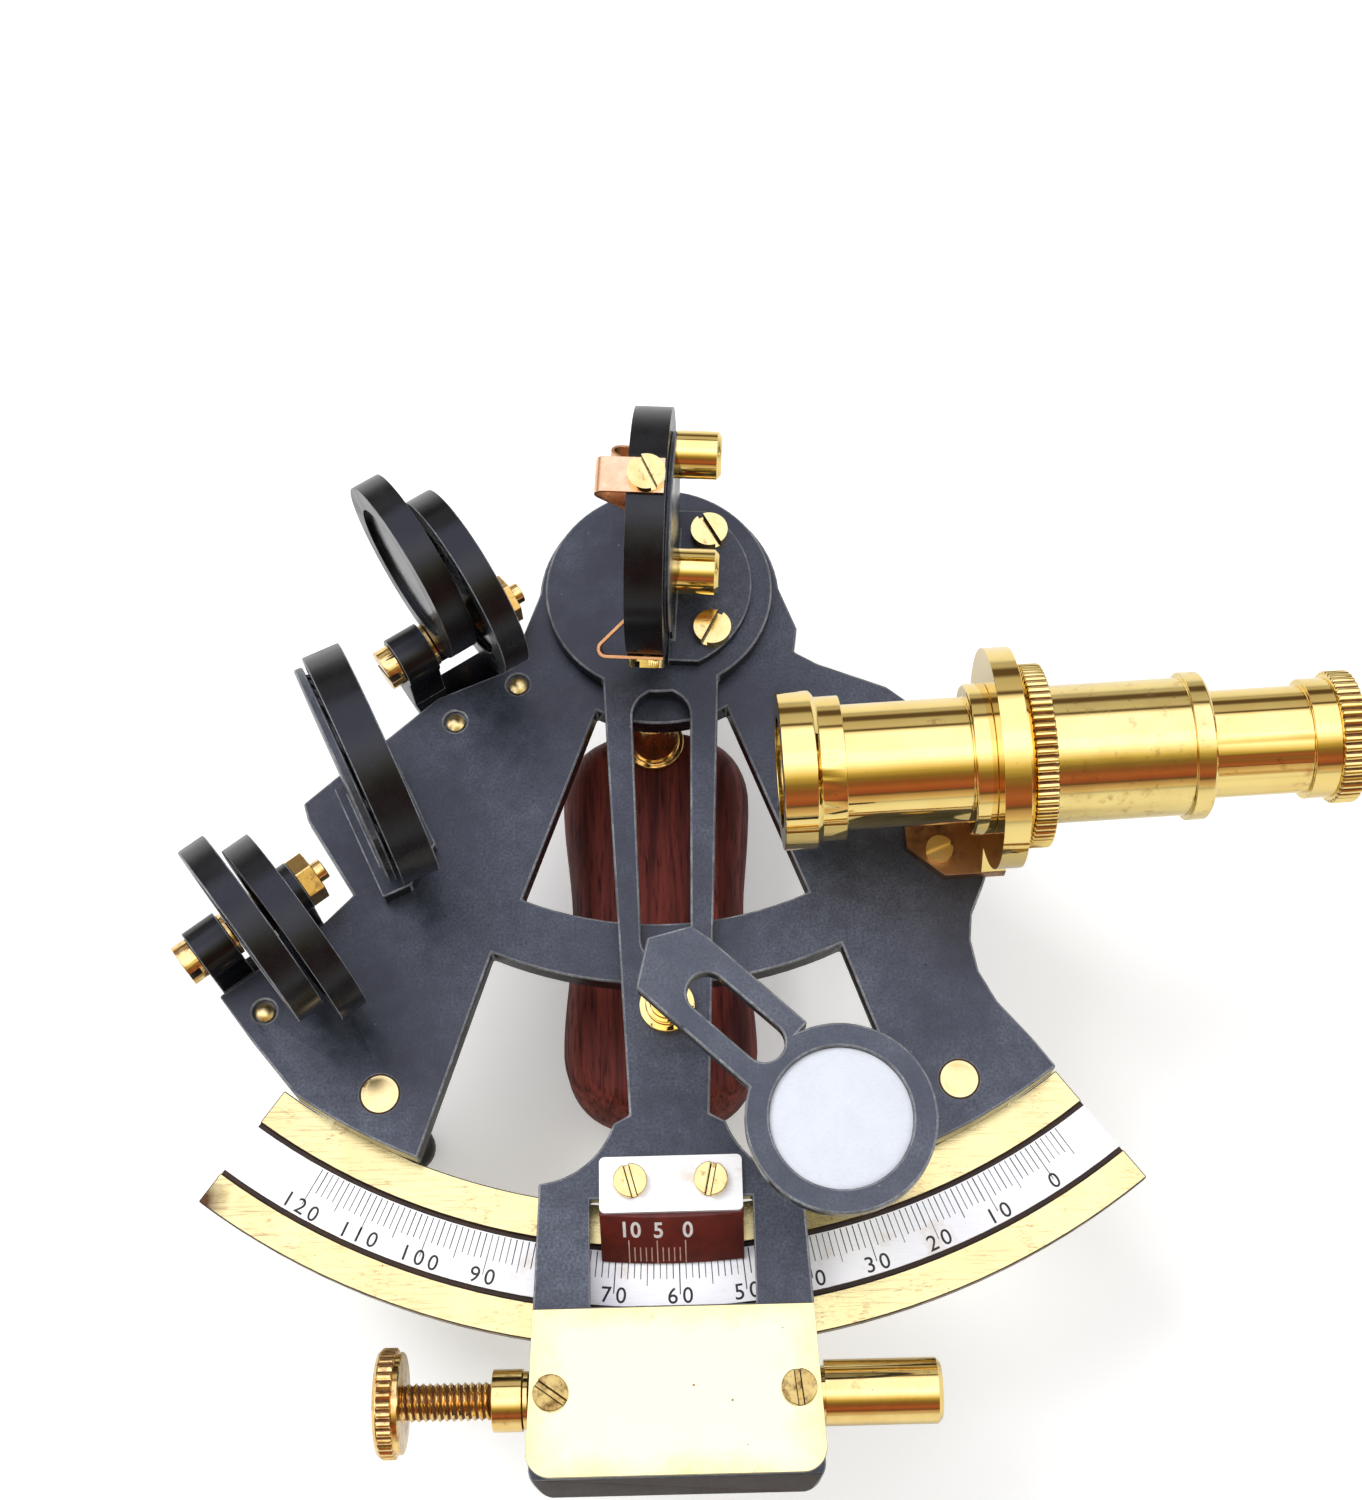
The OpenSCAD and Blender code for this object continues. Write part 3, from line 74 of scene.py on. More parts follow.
def put(tree, kind, values=None, **settings):
    """Adds one shader node, sets its properties, and fills or links its input sockets."""
    made = tree.nodes.new("ShaderNode" + kind)
    for key, value in settings.items():
        setattr(made, key, value)
    for key, value in (values or {}).items():
        if isinstance(value, bpy.types.NodeSocket):
            tree.links.new(value, made.inputs[key])
        else:
            made.inputs[key].default_value = value
    return made


def calc(tree, operation, *values):
    """Result of one Math node; each value is a number or a socket."""
    return put(tree, "Math", dict(enumerate(values)), operation=operation).outputs[0]


def new_group(name, inputs, outputs):
    """Starts a shader node group with named sockets; gives its tree and its input node."""
    tree = bpy.data.node_groups.new(name, "ShaderNodeTree")
    for label, kind, value in inputs:
        socket = tree.interface.new_socket(label, in_out="INPUT", socket_type="NodeSocket" + kind)
        if value is not None:
            socket.default_value = value
    for label, kind in outputs:
        tree.interface.new_socket(label, in_out="OUTPUT", socket_type="NodeSocket" + kind)
    return tree, tree.nodes.new("NodeGroupInput")


def close_group(tree, results):
    """Links the results to the group's outputs."""
    end = tree.nodes.new("NodeGroupOutput")
    for label, socket in results.items():
        tree.links.new(socket, end.inputs[label])


def use(tree, group, **values):
    """Places a node group in a material; a space in a socket's name is written as an underscore."""
    made = tree.nodes.new("ShaderNodeGroup")
    made.node_tree = group
    for key, value in values.items():
        made.inputs[key.replace("_", " ")].default_value = value
    return made


def mix(tree, mask, first, second):
    """Colour that goes from first to second with the mask; each is a socket or an RGB tuple."""
    made = tree.nodes.new("ShaderNodeMix")
    made.data_type = "RGBA"
    pairs = ((made.inputs["Factor"], mask), (made.inputs[6], first), (made.inputs[7], second))
    for socket, value in pairs:
        if isinstance(value, bpy.types.NodeSocket):
            tree.links.new(value, socket)
        else:
            socket.default_value = value if isinstance(value, float) else (*value, 1.0)
    return made.outputs[2]


def between(tree, mask, low, high):
    """Number that goes from low to high with the mask."""
    made = put(tree, "MapRange", {"Value": mask, "To Min": low, "To Max": high})
    return made.outputs["Result"]


# Effects shared by the finishes

def make_patches():
    """Soft irregular patches, such as tarnish or stains."""
    tree, given = new_group(
        "patches",
        [("Size mm", "Float", 8.0), ("From", "Float", 0.5), ("To", "Float", 0.65),
         ("Shift", "Float", 0.0)],
        [("Mask", "Float")],
    )
    place = put(tree, "TexCoord")
    size = calc(tree, "DIVIDE", MM_PER_M, given.outputs["Size mm"])
    noise = put(
        tree, "TexNoise",
        {"Vector": place.outputs["Object"], "W": given.outputs["Shift"], "Scale": size,
         "Detail": 5.0, "Roughness": 0.62},
        noise_dimensions="4D",
    )
    cut = put(
        tree, "MapRange",
        {"Value": noise.outputs["Fac"], "From Min": given.outputs["From"],
         "From Max": given.outputs["To"]},
    )
    close_group(tree, {"Mask": cut.outputs["Result"]})
    return tree


def make_specks():
    """Small round specks, such as dust or pits."""
    tree, given = new_group(
        "specks",
        [("Spacing mm", "Float", 2.0), ("Radius", "Float", 0.12), ("Shift", "Float", 0.0)],
        [("Mask", "Float")],
    )
    place = put(tree, "TexCoord")
    size = calc(tree, "DIVIDE", MM_PER_M, given.outputs["Spacing mm"])
    cells = put(
        tree, "TexVoronoi",
        {"Vector": place.outputs["Object"], "W": given.outputs["Shift"], "Scale": size},
        voronoi_dimensions="4D",
    )
    spread = put(tree, "SeparateColor", {"Color": cells.outputs["Color"]})
    radius = calc(tree, "MULTIPLY", given.outputs["Radius"], spread.outputs["Red"])
    close_group(tree, {"Mask": calc(tree, "LESS_THAN", cells.outputs["Distance"], radius)})
    return tree


def make_hairlines():
    """Fine straight scratches in two directions, as a mask and as a height for a bump."""
    tree, given = new_group(
        "hairlines",
        [("Size mm", "Float", 1.0), ("Stretch", "Float", 14.0), ("From", "Float", 0.62),
         ("Turn", "Float", 0.4)],
        [("Mask", "Float"), ("Height", "Float")],
    )
    place = put(tree, "TexCoord")
    scale = calc(tree, "DIVIDE", MM_PER_M, given.outputs["Size mm"])
    thin = calc(tree, "DIVIDE", scale, given.outputs["Stretch"])
    back = calc(tree, "MULTIPLY", given.outputs["Turn"], -1.7)
    lines = []
    for turn in (given.outputs["Turn"], back):
        angle = put(tree, "CombineXYZ", {"Z": turn})
        stretch = put(tree, "CombineXYZ", {"X": thin, "Y": scale, "Z": scale})
        mapped = put(
            tree, "Mapping",
            {"Vector": place.outputs["Object"], "Rotation": angle.outputs[0],
             "Scale": stretch.outputs[0]},
        )
        noise = put(tree, "TexNoise", {"Vector": mapped.outputs[0], "Scale": 1.0, "Detail": 3.0})
        cut = put(
            tree, "MapRange",
            {"Value": noise.outputs["Fac"], "From Min": given.outputs["From"], "From Max": 0.8},
        )
        lines.append(cut.outputs["Result"])
    both = calc(tree, "MAXIMUM", *lines)
    close_group(tree, {"Mask": both, "Height": calc(tree, "SUBTRACT", 1.0, both)})
    return tree


patches = make_patches()
specks = make_specks()
hairlines = make_hairlines()


def start_finish(name):
    """A new material with its Principled shader; gives the material, its tree and that shader."""
    material = bpy.data.materials.new(name)
    material.use_nodes = True
    tree = material.node_tree
    return material, tree, tree.nodes["Principled BSDF"]


def bump(tree, shader, height, strength, distance_mm):
    """Leads a height into the shader's normal through one Bump node."""
    made = put(tree, "Bump", {"Height": height, "Strength": strength, "Distance": distance_mm * MM})
    tree.links.new(made.outputs["Normal"], shader.inputs["Normal"])


def brass(
    name, clean, dull, brown, tarnish=(0.6, 0.74), gloss=(0.09, 0.28), patch_mm=5.0, shift=0.0,
    scratch=0.12,
):
    """Handled brass: clean metal, a duller tone in wide patches and brown tarnish in small ones."""
    material, tree, shader = start_finish(name)
    wide = use(tree, patches, Size_mm=patch_mm * 2.2, From=0.42, To=0.72, Shift=shift)
    small = use(tree, patches, Size_mm=patch_mm, From=tarnish[0], To=tarnish[1], Shift=shift + 3.1)
    pits = use(tree, specks, Spacing_mm=1.6, Radius=0.1, Shift=shift)
    lines = use(tree, hairlines, Size_mm=0.35, Stretch=22.0, From=0.6, Turn=0.3 + shift)
    colour = mix(tree, wide.outputs["Mask"], clean, dull)
    colour = mix(tree, small.outputs["Mask"], colour, brown)
    colour = mix(tree, pits.outputs["Mask"], colour, tuple(0.5 * c for c in brown))
    tree.links.new(colour, shader.inputs["Base Color"])
    rough = between(tree, small.outputs["Mask"], gloss[0], gloss[1])
    tree.links.new(rough, shader.inputs["Roughness"])
    shader.inputs["Metallic"].default_value = 1.0
    bump(tree, shader, lines.outputs["Height"], scratch, 0.02)
    return material


def black_paint(name, dark, light, dust=0.1, gloss=(0.34, 0.5), cloud_mm=20.0, shift=0.0, shine=0.5):
    """Satin black over brass: cloudy blue-grey tone, pale dust and small bare pits."""
    material, tree, shader = start_finish(name)
    cloud = use(tree, patches, Size_mm=cloud_mm, From=0.36, To=0.66, Shift=shift)
    mottle = use(tree, patches, Size_mm=2.6, From=0.38, To=0.72, Shift=shift + 2.2)
    grain = use(tree, patches, Size_mm=0.5, From=0.35, To=0.75, Shift=shift + 1.3)
    bits = use(tree, specks, Spacing_mm=1.9, Radius=dust, Shift=shift)
    pits = use(tree, specks, Spacing_mm=3.4, Radius=dust * 0.8, Shift=shift + 5.0)
    tone = mix(tree, cloud.outputs["Mask"], dark, light)
    tone = mix(tree, calc(tree, "MULTIPLY", mottle.outputs["Mask"], 0.5), tone, dark)
    finer = mix(tree, grain.outputs["Mask"], tone, tuple(0.72 * c for c in dark))
    pale = calc(tree, "MULTIPLY", bits.outputs["Mask"], 0.45)
    colour = mix(tree, pale, finer, (0.24, 0.25, 0.27))
    colour = mix(tree, pits.outputs["Mask"], colour, tuple(0.3 * c for c in dark))
    tree.links.new(colour, shader.inputs["Base Color"])
    rough = between(tree, cloud.outputs["Mask"], gloss[0], gloss[1])
    tree.links.new(rough, shader.inputs["Roughness"])
    shader.inputs["Specular IOR Level"].default_value = shine
    bump(tree, shader, grain.outputs["Mask"], 0.12, 0.03)
    return material


def cover_polish():
    """Brass of the cover: painted lighter in the middle as a painted highlight, yellower and stained towards
    its edges.
    """
    material, tree, shader = start_finish("cover_brass")
    place = put(tree, "TexCoord")
    half_x, half_y, middle_y = 24.8, 13.6, -151.0
    from_middle = put(
        tree, "Mapping",
        {"Vector": place.outputs["Object"], "Location": (0.0, -middle_y / half_y, 0.0),
         "Scale": (MM_PER_M / half_x, MM_PER_M / half_y, 0.0)},
    )
    parts = put(tree, "SeparateXYZ", {0: from_middle.outputs[0]})
    across = calc(tree, "ABSOLUTE", parts.outputs["X"])
    down = calc(tree, "ABSOLUTE", parts.outputs["Y"])
    outer = calc(tree, "MAXIMUM", across, down)
    cloud = use(tree, patches, Size_mm=7.0, From=0.3, To=0.7, Shift=15.0)
    uneven = calc(tree, "MULTIPLY_ADD", cloud.outputs["Mask"], 0.3, outer)
    edge = put(tree, "MapRange", {"Value": uneven, "From Min": 0.86, "From Max": 1.24})
    stains = use(tree, patches, Size_mm=3.0, From=0.6, To=0.72, Shift=18.0)
    pits = use(tree, specks, Spacing_mm=3.4, Radius=0.12, Shift=16.0)
    lines = use(tree, hairlines, Size_mm=0.3, Stretch=26.0, From=0.62, Turn=0.2)
    # Painted highlight: the middle of the cover is paler; the same edge mask also places the real stains.
    colour = mix(tree, edge.outputs["Result"], (0.8, 0.76, 0.42), (0.76, 0.66, 0.27))
    stained_edge = calc(tree, "MULTIPLY", stains.outputs["Mask"], edge.outputs["Result"])
    colour = mix(tree, stained_edge, colour, (0.5, 0.28, 0.1))
    colour = mix(tree, pits.outputs["Mask"], colour, (0.3, 0.17, 0.08))
    tree.links.new(colour, shader.inputs["Base Color"])
    rough = between(tree, cloud.outputs["Mask"], 0.2, 0.3)
    tree.links.new(rough, shader.inputs["Roughness"])
    shader.inputs["Metallic"].default_value = 1.0
    bump(tree, shader, lines.outputs["Height"], 0.25, 0.02)
    return material


def arc_polish():
    """Brass of the arc: pale and scratched, most stained at its left end, and darkened at that corner by a
    painted shadow.
    """
    material, tree, shader = start_finish("arc_brass")
    place = put(tree, "TexCoord")
    parts = put(tree, "SeparateXYZ", {0: place.outputs["Object"]})
    left = put(
        tree, "MapRange",
        {"Value": parts.outputs["X"], "From Min": -0.03, "From Max": -0.11, "To Min": 0.5},
    )
    wide = use(tree, patches, Size_mm=14.0, From=0.4, To=0.66, Shift=11.0)
    small = use(tree, hairlines, Size_mm=0.4, Stretch=3.5, From=0.54, Turn=0.9)
    pits = use(tree, specks, Spacing_mm=1.5, Radius=0.11, Shift=11.0)
    lines = use(tree, hairlines, Size_mm=0.4, Stretch=20.0, From=0.57, Turn=0.7)
    tan = calc(tree, "MULTIPLY", wide.outputs["Mask"], left.outputs["Result"])
    worn = use(tree, patches, Size_mm=5.0, From=0.5, To=0.62, Shift=3.0)
    brown = calc(tree, "MULTIPLY", small.outputs["Mask"], worn.outputs["Mask"])
    # Painted shadow: towards the left outer corner the brass goes almost black.
    left_corner = (-0.0845, -0.1155, 0.041)
    reach = put(tree, "VectorMath", {0: place.outputs["Object"], 1: left_corner}, operation="DISTANCE")
    frayed = calc(tree, "MULTIPLY_ADD", wide.outputs["Mask"], -0.002, reach.outputs["Value"])
    stain_and_corner_shadow = put(tree, "MapRange", {"Value": frayed, "From Min": 0.0052, "From Max": 0.0015})
    cuts = calc(tree, "MULTIPLY", lines.outputs["Mask"], left.outputs["Result"])
    colour = mix(tree, tan, (0.84, 0.72, 0.31), (0.72, 0.54, 0.2))
    colour = mix(tree, brown, colour, (0.36, 0.21, 0.09))
    colour = mix(tree, cuts, colour, (0.3, 0.17, 0.08))
    colour = mix(tree, stain_and_corner_shadow.outputs["Result"], colour, (0.09, 0.045, 0.02))
    colour = mix(tree, pits.outputs["Mask"], colour, (0.22, 0.12, 0.05))
    tree.links.new(colour, shader.inputs["Base Color"])
    rough = between(tree, brown, 0.26, 0.45)
    tree.links.new(rough, shader.inputs["Roughness"])
    shader.inputs["Metallic"].default_value = 1.0
    bump(tree, shader, lines.outputs["Height"], 0.5, 0.02)
    return material


def silvered(name, clean, stain_and_corner_shadow, shift=0.0):
    """Matt silvered metal with fine brushing and a few yellow stains."""
    material, tree, shader = start_finish(name)
    blots = use(tree, patches, Size_mm=7.0, From=0.55, To=0.72, Shift=shift)
    lines = use(tree, hairlines, Size_mm=0.25, Stretch=18.0, From=0.58, Turn=0.9)
    colour = mix(tree, calc(tree, "MULTIPLY", blots.outputs["Mask"], 0.7), clean, stain_and_corner_shadow)
    faint = calc(tree, "MULTIPLY", lines.outputs["Mask"], 0.18)
    colour = mix(tree, faint, colour, tuple(0.6 * c for c in stain_and_corner_shadow))
    tree.links.new(colour, shader.inputs["Base Color"])
    shader.inputs["Metallic"].default_value = 0.35
    shader.inputs["Roughness"].default_value = 0.42
    bump(tree, shader, lines.outputs["Height"], 0.15, 0.015)
    return material


def plain_finish(name, first, second, rough, metallic=0.0, size_mm=6.0, shift=0.0):
    """Even finish in two close tones, for engraving, wax, copper, hidden steel and painted shade."""
    material, tree, shader = start_finish(name)
    tone = use(tree, patches, Size_mm=size_mm, From=0.35, To=0.68, Shift=shift)
    colour = mix(tree, tone.outputs["Mask"], first, second)
    tree.links.new(colour, shader.inputs["Base Color"])
    uneven = between(tree, tone.outputs["Mask"], rough, rough + 0.12)
    tree.links.new(uneven, shader.inputs["Roughness"])
    shader.inputs["Metallic"].default_value = metallic
    return material


def handle_wood():
    """Dull red-brown hardwood: long pores and bands that run along the handle, which lies along Y."""
    material, tree, shader = start_finish("handle_wood")
    place = put(tree, "TexCoord")
    long_way = put(
        tree, "Mapping",
        {"Vector": place.outputs["Object"], "Rotation": (0.0, 0.0, 0.05),
         "Scale": (1500.0, 110.0, 1500.0)},
    )
    pores = put(
        tree, "TexNoise",
        {"Vector": long_way.outputs[0], "Scale": 1.0, "Detail": 6.0, "Roughness": 0.65},
    )
    wide_way = put(
        tree, "Mapping",
        {"Vector": place.outputs["Object"], "Rotation": (0.0, 0.35, 0.09),
         "Scale": (330.0, 26.0, 330.0)},
    )
    bands = put(
        tree, "TexNoise",
        {"Vector": wide_way.outputs[0], "Scale": 1.0, "Detail": 4.0, "Distortion": 0.9},
    )
    ramp = put(tree, "ValToRGB", {"Fac": bands.outputs["Fac"]})
    ramp.color_ramp.elements[0].position = 0.34
    ramp.color_ramp.elements[0].color = (0.06, 0.011, 0.008, 1)
    ramp.color_ramp.elements[1].position = 0.68
    ramp.color_ramp.elements[1].color = (0.24, 0.046, 0.032, 1)
    dark = put(
        tree, "MapRange",
        {"Value": pores.outputs["Fac"], "From Min": 0.5, "From Max": 0.66, "To Max": 0.9},
    )
    colour = mix(tree, dark.outputs["Result"], ramp.outputs["Color"], (0.03, 0.006, 0.005))
    tree.links.new(colour, shader.inputs["Base Color"])
    rough = between(tree, dark.outputs["Result"], 0.5, 0.68)
    tree.links.new(rough, shader.inputs["Roughness"])
    shader.inputs["Specular IOR Level"].default_value = 0.2
    bump(tree, shader, pores.outputs["Fac"], 0.4, 0.08)
    return material


def glass(name, colour, rough, transmission, shift=0.0, shine=0.5, ground=0.0):
    """Glass or a ground lens, with faint smears in its roughness and, where ground, a fine weave."""
    material, tree, shader = start_finish(name)
    smear = use(tree, patches, Size_mm=5.0, From=0.4, To=0.7, Shift=shift)
    uneven = between(tree, smear.outputs["Mask"], rough, rough + 0.08)
    tree.links.new(uneven, shader.inputs["Roughness"])
    weave = use(tree, hairlines, Size_mm=0.28, Stretch=2.5, From=0.45, Turn=0.0)
    faint = calc(tree, "MULTIPLY", weave.outputs["Mask"], ground)
    tint = mix(tree, smear.outputs["Mask"], colour, tuple(0.94 * c for c in colour))
    tint = mix(tree, faint, tint, tuple(0.5 * c for c in colour))
    tree.links.new(tint, shader.inputs["Base Color"])
    shader.inputs["Metallic"].default_value = 0.0
    shader.inputs["Transmission Weight"].default_value = transmission
    shader.inputs["IOR"].default_value = 1.5
    shader.inputs["Specular IOR Level"].default_value = shine
    return material


def mirror():
    """Silvered mirror glass with faint clouding."""
    material, tree, shader = start_finish("mirror_glass")
    cloud = use(tree, patches, Size_mm=6.0, From=0.5, To=0.8, Shift=2.0)
    colour = mix(tree, cloud.outputs["Mask"], (0.82, 0.85, 0.87), (0.62, 0.65, 0.66))
    tree.links.new(colour, shader.inputs["Base Color"])
    rough = between(tree, cloud.outputs["Mask"], 0.02, 0.12)
    tree.links.new(rough, shader.inputs["Roughness"])
    shader.inputs["Metallic"].default_value = 1.0
    return material


polished = brass(
    "polished_brass", (0.9, 0.69, 0.25), (0.84, 0.6, 0.19), (0.5, 0.24, 0.08),
    tarnish=(0.64, 0.78), gloss=(0.05, 0.22), scratch=0.06,
)
stained = brass(
    "stained_brass", (0.88, 0.69, 0.26), (0.8, 0.6, 0.22), (0.52, 0.33, 0.12),
    tarnish=(0.56, 0.74), gloss=(0.07, 0.26), patch_mm=2.2, shift=17.0, scratch=0.1,
)
aged = brass(
    "aged_brass", (0.5, 0.3, 0.17), (0.36, 0.2, 0.1), (0.17, 0.08, 0.04),
    tarnish=(0.48, 0.66), gloss=(0.34, 0.5), shift=7.0, scratch=0.3,
)
bronze = brass(
    "bronze_fittings", (0.88, 0.63, 0.25), (0.72, 0.45, 0.15), (0.32, 0.14, 0.05),
    tarnish=(0.5, 0.7), gloss=(0.12, 0.34), patch_mm=2.0, shift=21.0,
)
barrel_brass = brass(
    "barrel_brass", (0.88, 0.66, 0.25), (0.8, 0.53, 0.18), (0.46, 0.22, 0.08),
    tarnish=(0.58, 0.76), gloss=(0.08, 0.24), patch_mm=2.6, shift=25.0,
)
screw_brass = brass(
    "screw_brass", (0.84, 0.67, 0.27), (0.72, 0.5, 0.17), (0.34, 0.17, 0.06),
    tarnish=(0.58, 0.76), gloss=(0.16, 0.38), patch_mm=1.6, shift=4.0, scratch=0.3,
)
pin_brass = brass(
    "pin_brass", (0.92, 0.74, 0.33), (0.86, 0.62, 0.24), (0.5, 0.28, 0.1),
    tarnish=(0.62, 0.78), gloss=(0.36, 0.46), patch_mm=1.4, shift=5.0, scratch=0.2,
)
worn_screw = brass(
    "worn_screw_brass", (0.56, 0.42, 0.14), (0.42, 0.27, 0.07), (0.15, 0.08, 0.025),
    tarnish=(0.46, 0.66), gloss=(0.2, 0.42), patch_mm=1.8, shift=14.0, scratch=0.4,
)
# Painted shade: a darker copy of the arc's brass for its side faces.
arc_side_shade = brass(
    "arc_side_shade_brass", (0.34, 0.24, 0.1), (0.2, 0.13, 0.06), (0.09, 0.05, 0.025),
    tarnish=(0.45, 0.65), gloss=(0.34, 0.5), patch_mm=3.0, shift=12.0, scratch=0.3,
)
plate_black = black_paint("plate_black", (0.012, 0.014, 0.02), (0.125, 0.14, 0.178), cloud_mm=28.0)
arm_black = black_paint(
    "arm_black", (0.042, 0.047, 0.062), (0.115, 0.125, 0.155), cloud_mm=12.0, shift=6.0,
)
# Black of the rims; on plates and arms it also paints shade on the side faces.
rim_black_and_side_shade = black_paint(
    "rim_black_and_side_shade", (0.003, 0.003, 0.004), (0.01, 0.012, 0.016), dust=0.06, gloss=(0.2, 0.34),
    cloud_mm=9.0, shift=3.0, shine=0.35,
)
# Painted shade: darker, browner black for the side faces of the foot block.
block_side_shade = black_paint(
    "block_side_shade", (0.03, 0.02, 0.015), (0.07, 0.052, 0.04), dust=0.12, gloss=(0.45, 0.6),
    cloud_mm=6.0, shift=8.0, shine=0.15,
)
# Painted highlight: pale grey along the rounded edges of the black parts.
edge_highlight = black_paint(
    "edge_highlight", (0.1, 0.105, 0.115), (0.4, 0.41, 0.43), dust=0.2, cloud_mm=4.0, shift=9.0,
)
white_silver = silvered("white_silver", (0.92, 0.91, 0.86), (0.68, 0.55, 0.36))
# Painted shade: near black for the arc's groove, the walls of screw slots, the gaps round the pins and dark
# outlines along some rounded edges.
painted_shade_dark = plain_finish("painted_shade_dark", (0.02, 0.012, 0.008), (0.06, 0.034, 0.016), 0.55, 0.3, 3.0)
root_brown = plain_finish("knurl_roots", (0.12, 0.045, 0.016), (0.26, 0.12, 0.04), 0.5, 0.7, 1.5, 2.0)
red_strip = plain_finish("red_strip", (0.15, 0.018, 0.01), (0.085, 0.012, 0.008), 0.4, 0.0, 2.5, 6.0)
copper = plain_finish("clip_copper", (0.95, 0.6, 0.34), (0.84, 0.42, 0.22), 0.24, 1.0, 3.0)
steel = plain_finish("turned_steel", (0.55, 0.55, 0.56), (0.4, 0.4, 0.41), 0.3, 1.0)
ink = plain_finish("engraving_wax", (0.012, 0.011, 0.01), (0.04, 0.034, 0.03), 0.6, 0.0, 1.5)
pale_ink = plain_finish("white_figures", (0.9, 0.88, 0.86), (0.72, 0.62, 0.58), 0.5, 0.0, 1.2)
pink_ink = plain_finish("vernier_lines", (0.78, 0.5, 0.4), (0.52, 0.26, 0.19), 0.5, 0.0, 1.2)
wood = handle_wood()
cover_brass = cover_polish()
arc_brass = arc_polish()
ground_lens = glass("ground_lens", (0.74, 0.77, 0.83), 0.3, 0.12, ground=0.16)
clear_lens = glass("clear_lens", (0.9, 0.94, 0.95), 0.02, 0.9, 1.0)
dark_glass = glass("dark_shade_glass", (0.008, 0.012, 0.01), 0.12, 0.3, 2.0, 0.12)
mirror_silver = mirror()


# Mesh helpers

def finish_mesh(name, body, mesh, materials, replaced=()):
    """Makes a piece of the mesh, lets it ride on its body and hides the CAD nodes it stands for."""
    piece = bpy.data.objects.new(name, mesh)
    bpy.context.scene.collection.objects.link(piece)
    for material in materials:
        mesh.materials.append(material)
    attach(piece, body)
    if replaced:
        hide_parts(*replaced)
    return piece


def smooth(mesh, angle=32):
    """Smooth shading with sharp edges beyond the angle."""
    mesh.shade_smooth()
    mesh.set_sharp_from_angle(angle=math.radians(angle))


def round_edges(piece, width, segments=2, edge_slot=-1, weighted=False, clamp=True):
    """Small rounded edges, which take the material of edge_slot."""
    edges = piece.modifiers.new("rounded_edges", "BEVEL")
    edges.limit_method = "WEIGHT" if weighted else "ANGLE"
    edges.angle_limit = math.radians(35)
    edges.width = width * MM
    edges.segments = segments
    edges.harden_normals = True
    edges.material = edge_slot
    edges.use_clamp_overlap = clamp


def slot_faces(shape, widest):
    """Walls of the screw slots: small faces that look at each other within widest mm."""
    tree = BVHTree.FromBMesh(shape)
    walls = set()
    for face in shape.faces:
        start = face.calc_center_median() + face.normal * 1e-5
        hit, normal = tree.ray_cast(start, face.normal, widest * MM)[:2]
        if hit and normal.dot(face.normal) < -0.99 and len(face.verts) < 12:
            walls.add(face)
    return walls


def dressed(
    node, finish, width=0.2, edge=None, sort_faces=None, extra=(), slots=None,
    round_where=None, keep_corner=None, clamp=True,
):
    """A copy of a CAD node with clean flat faces, rounded edges and its finish.

    Its materials are finish and extra, which sort_faces deals out, then slots for the walls of screw
    slots and edge for the rounded edges. round_where picks the edges that are rounded, and
    keep_corner the corners that stay as they are.
    """
    shape = bmesh.new()
    shape.from_mesh(nodes[node].data)
    bmesh.ops.remove_doubles(shape, verts=shape.verts, dist=2e-6)
    kept = {corner for corner in shape.verts if keep_corner and keep_corner(corner)}
    bmesh.ops.dissolve_limit(
        shape, angle_limit=math.radians(0.6),
        verts=[corner for corner in shape.verts if corner not in kept],
        edges=[line for line in shape.edges if not kept.intersection(line.verts)],
    )
    for face in shape.faces:
        face.material_index = sort_faces(face) if sort_faces else 0
    materials = [finish, *extra]
    # Walls of screw slots take the slots material, a painted shade.
    if slots:
        materials.append(slots)
        for face in slot_faces(shape, 1.4):
            face.material_index = len(materials) - 1
    if round_where:
        weight = shape.edges.layers.float.new("bevel_weight_edge")
        for line in shape.edges:
            line[weight] = 1.0 if round_where(line) else 0.0
    mesh = bpy.data.meshes.new(node + "_dressed")
    shape.to_mesh(mesh)
    shape.free()
    smooth(mesh)
    if edge:
        materials.append(edge)
    piece = finish_mesh(
        node + "_dressed", body_of_node[node], mesh, materials, (node,)
    )
    if width:
        round_edges(piece, width, 2, len(materials) - 1 if edge else -1, bool(round_where), clamp)
    return piece


def repaint(node, finish):
    """Gives a CAD node that stays as it is another finish."""
    slots = nodes[node].material_slots
    for held in slots:
        held.material = finish
    if not slots:
        nodes[node].data.materials.append(finish)


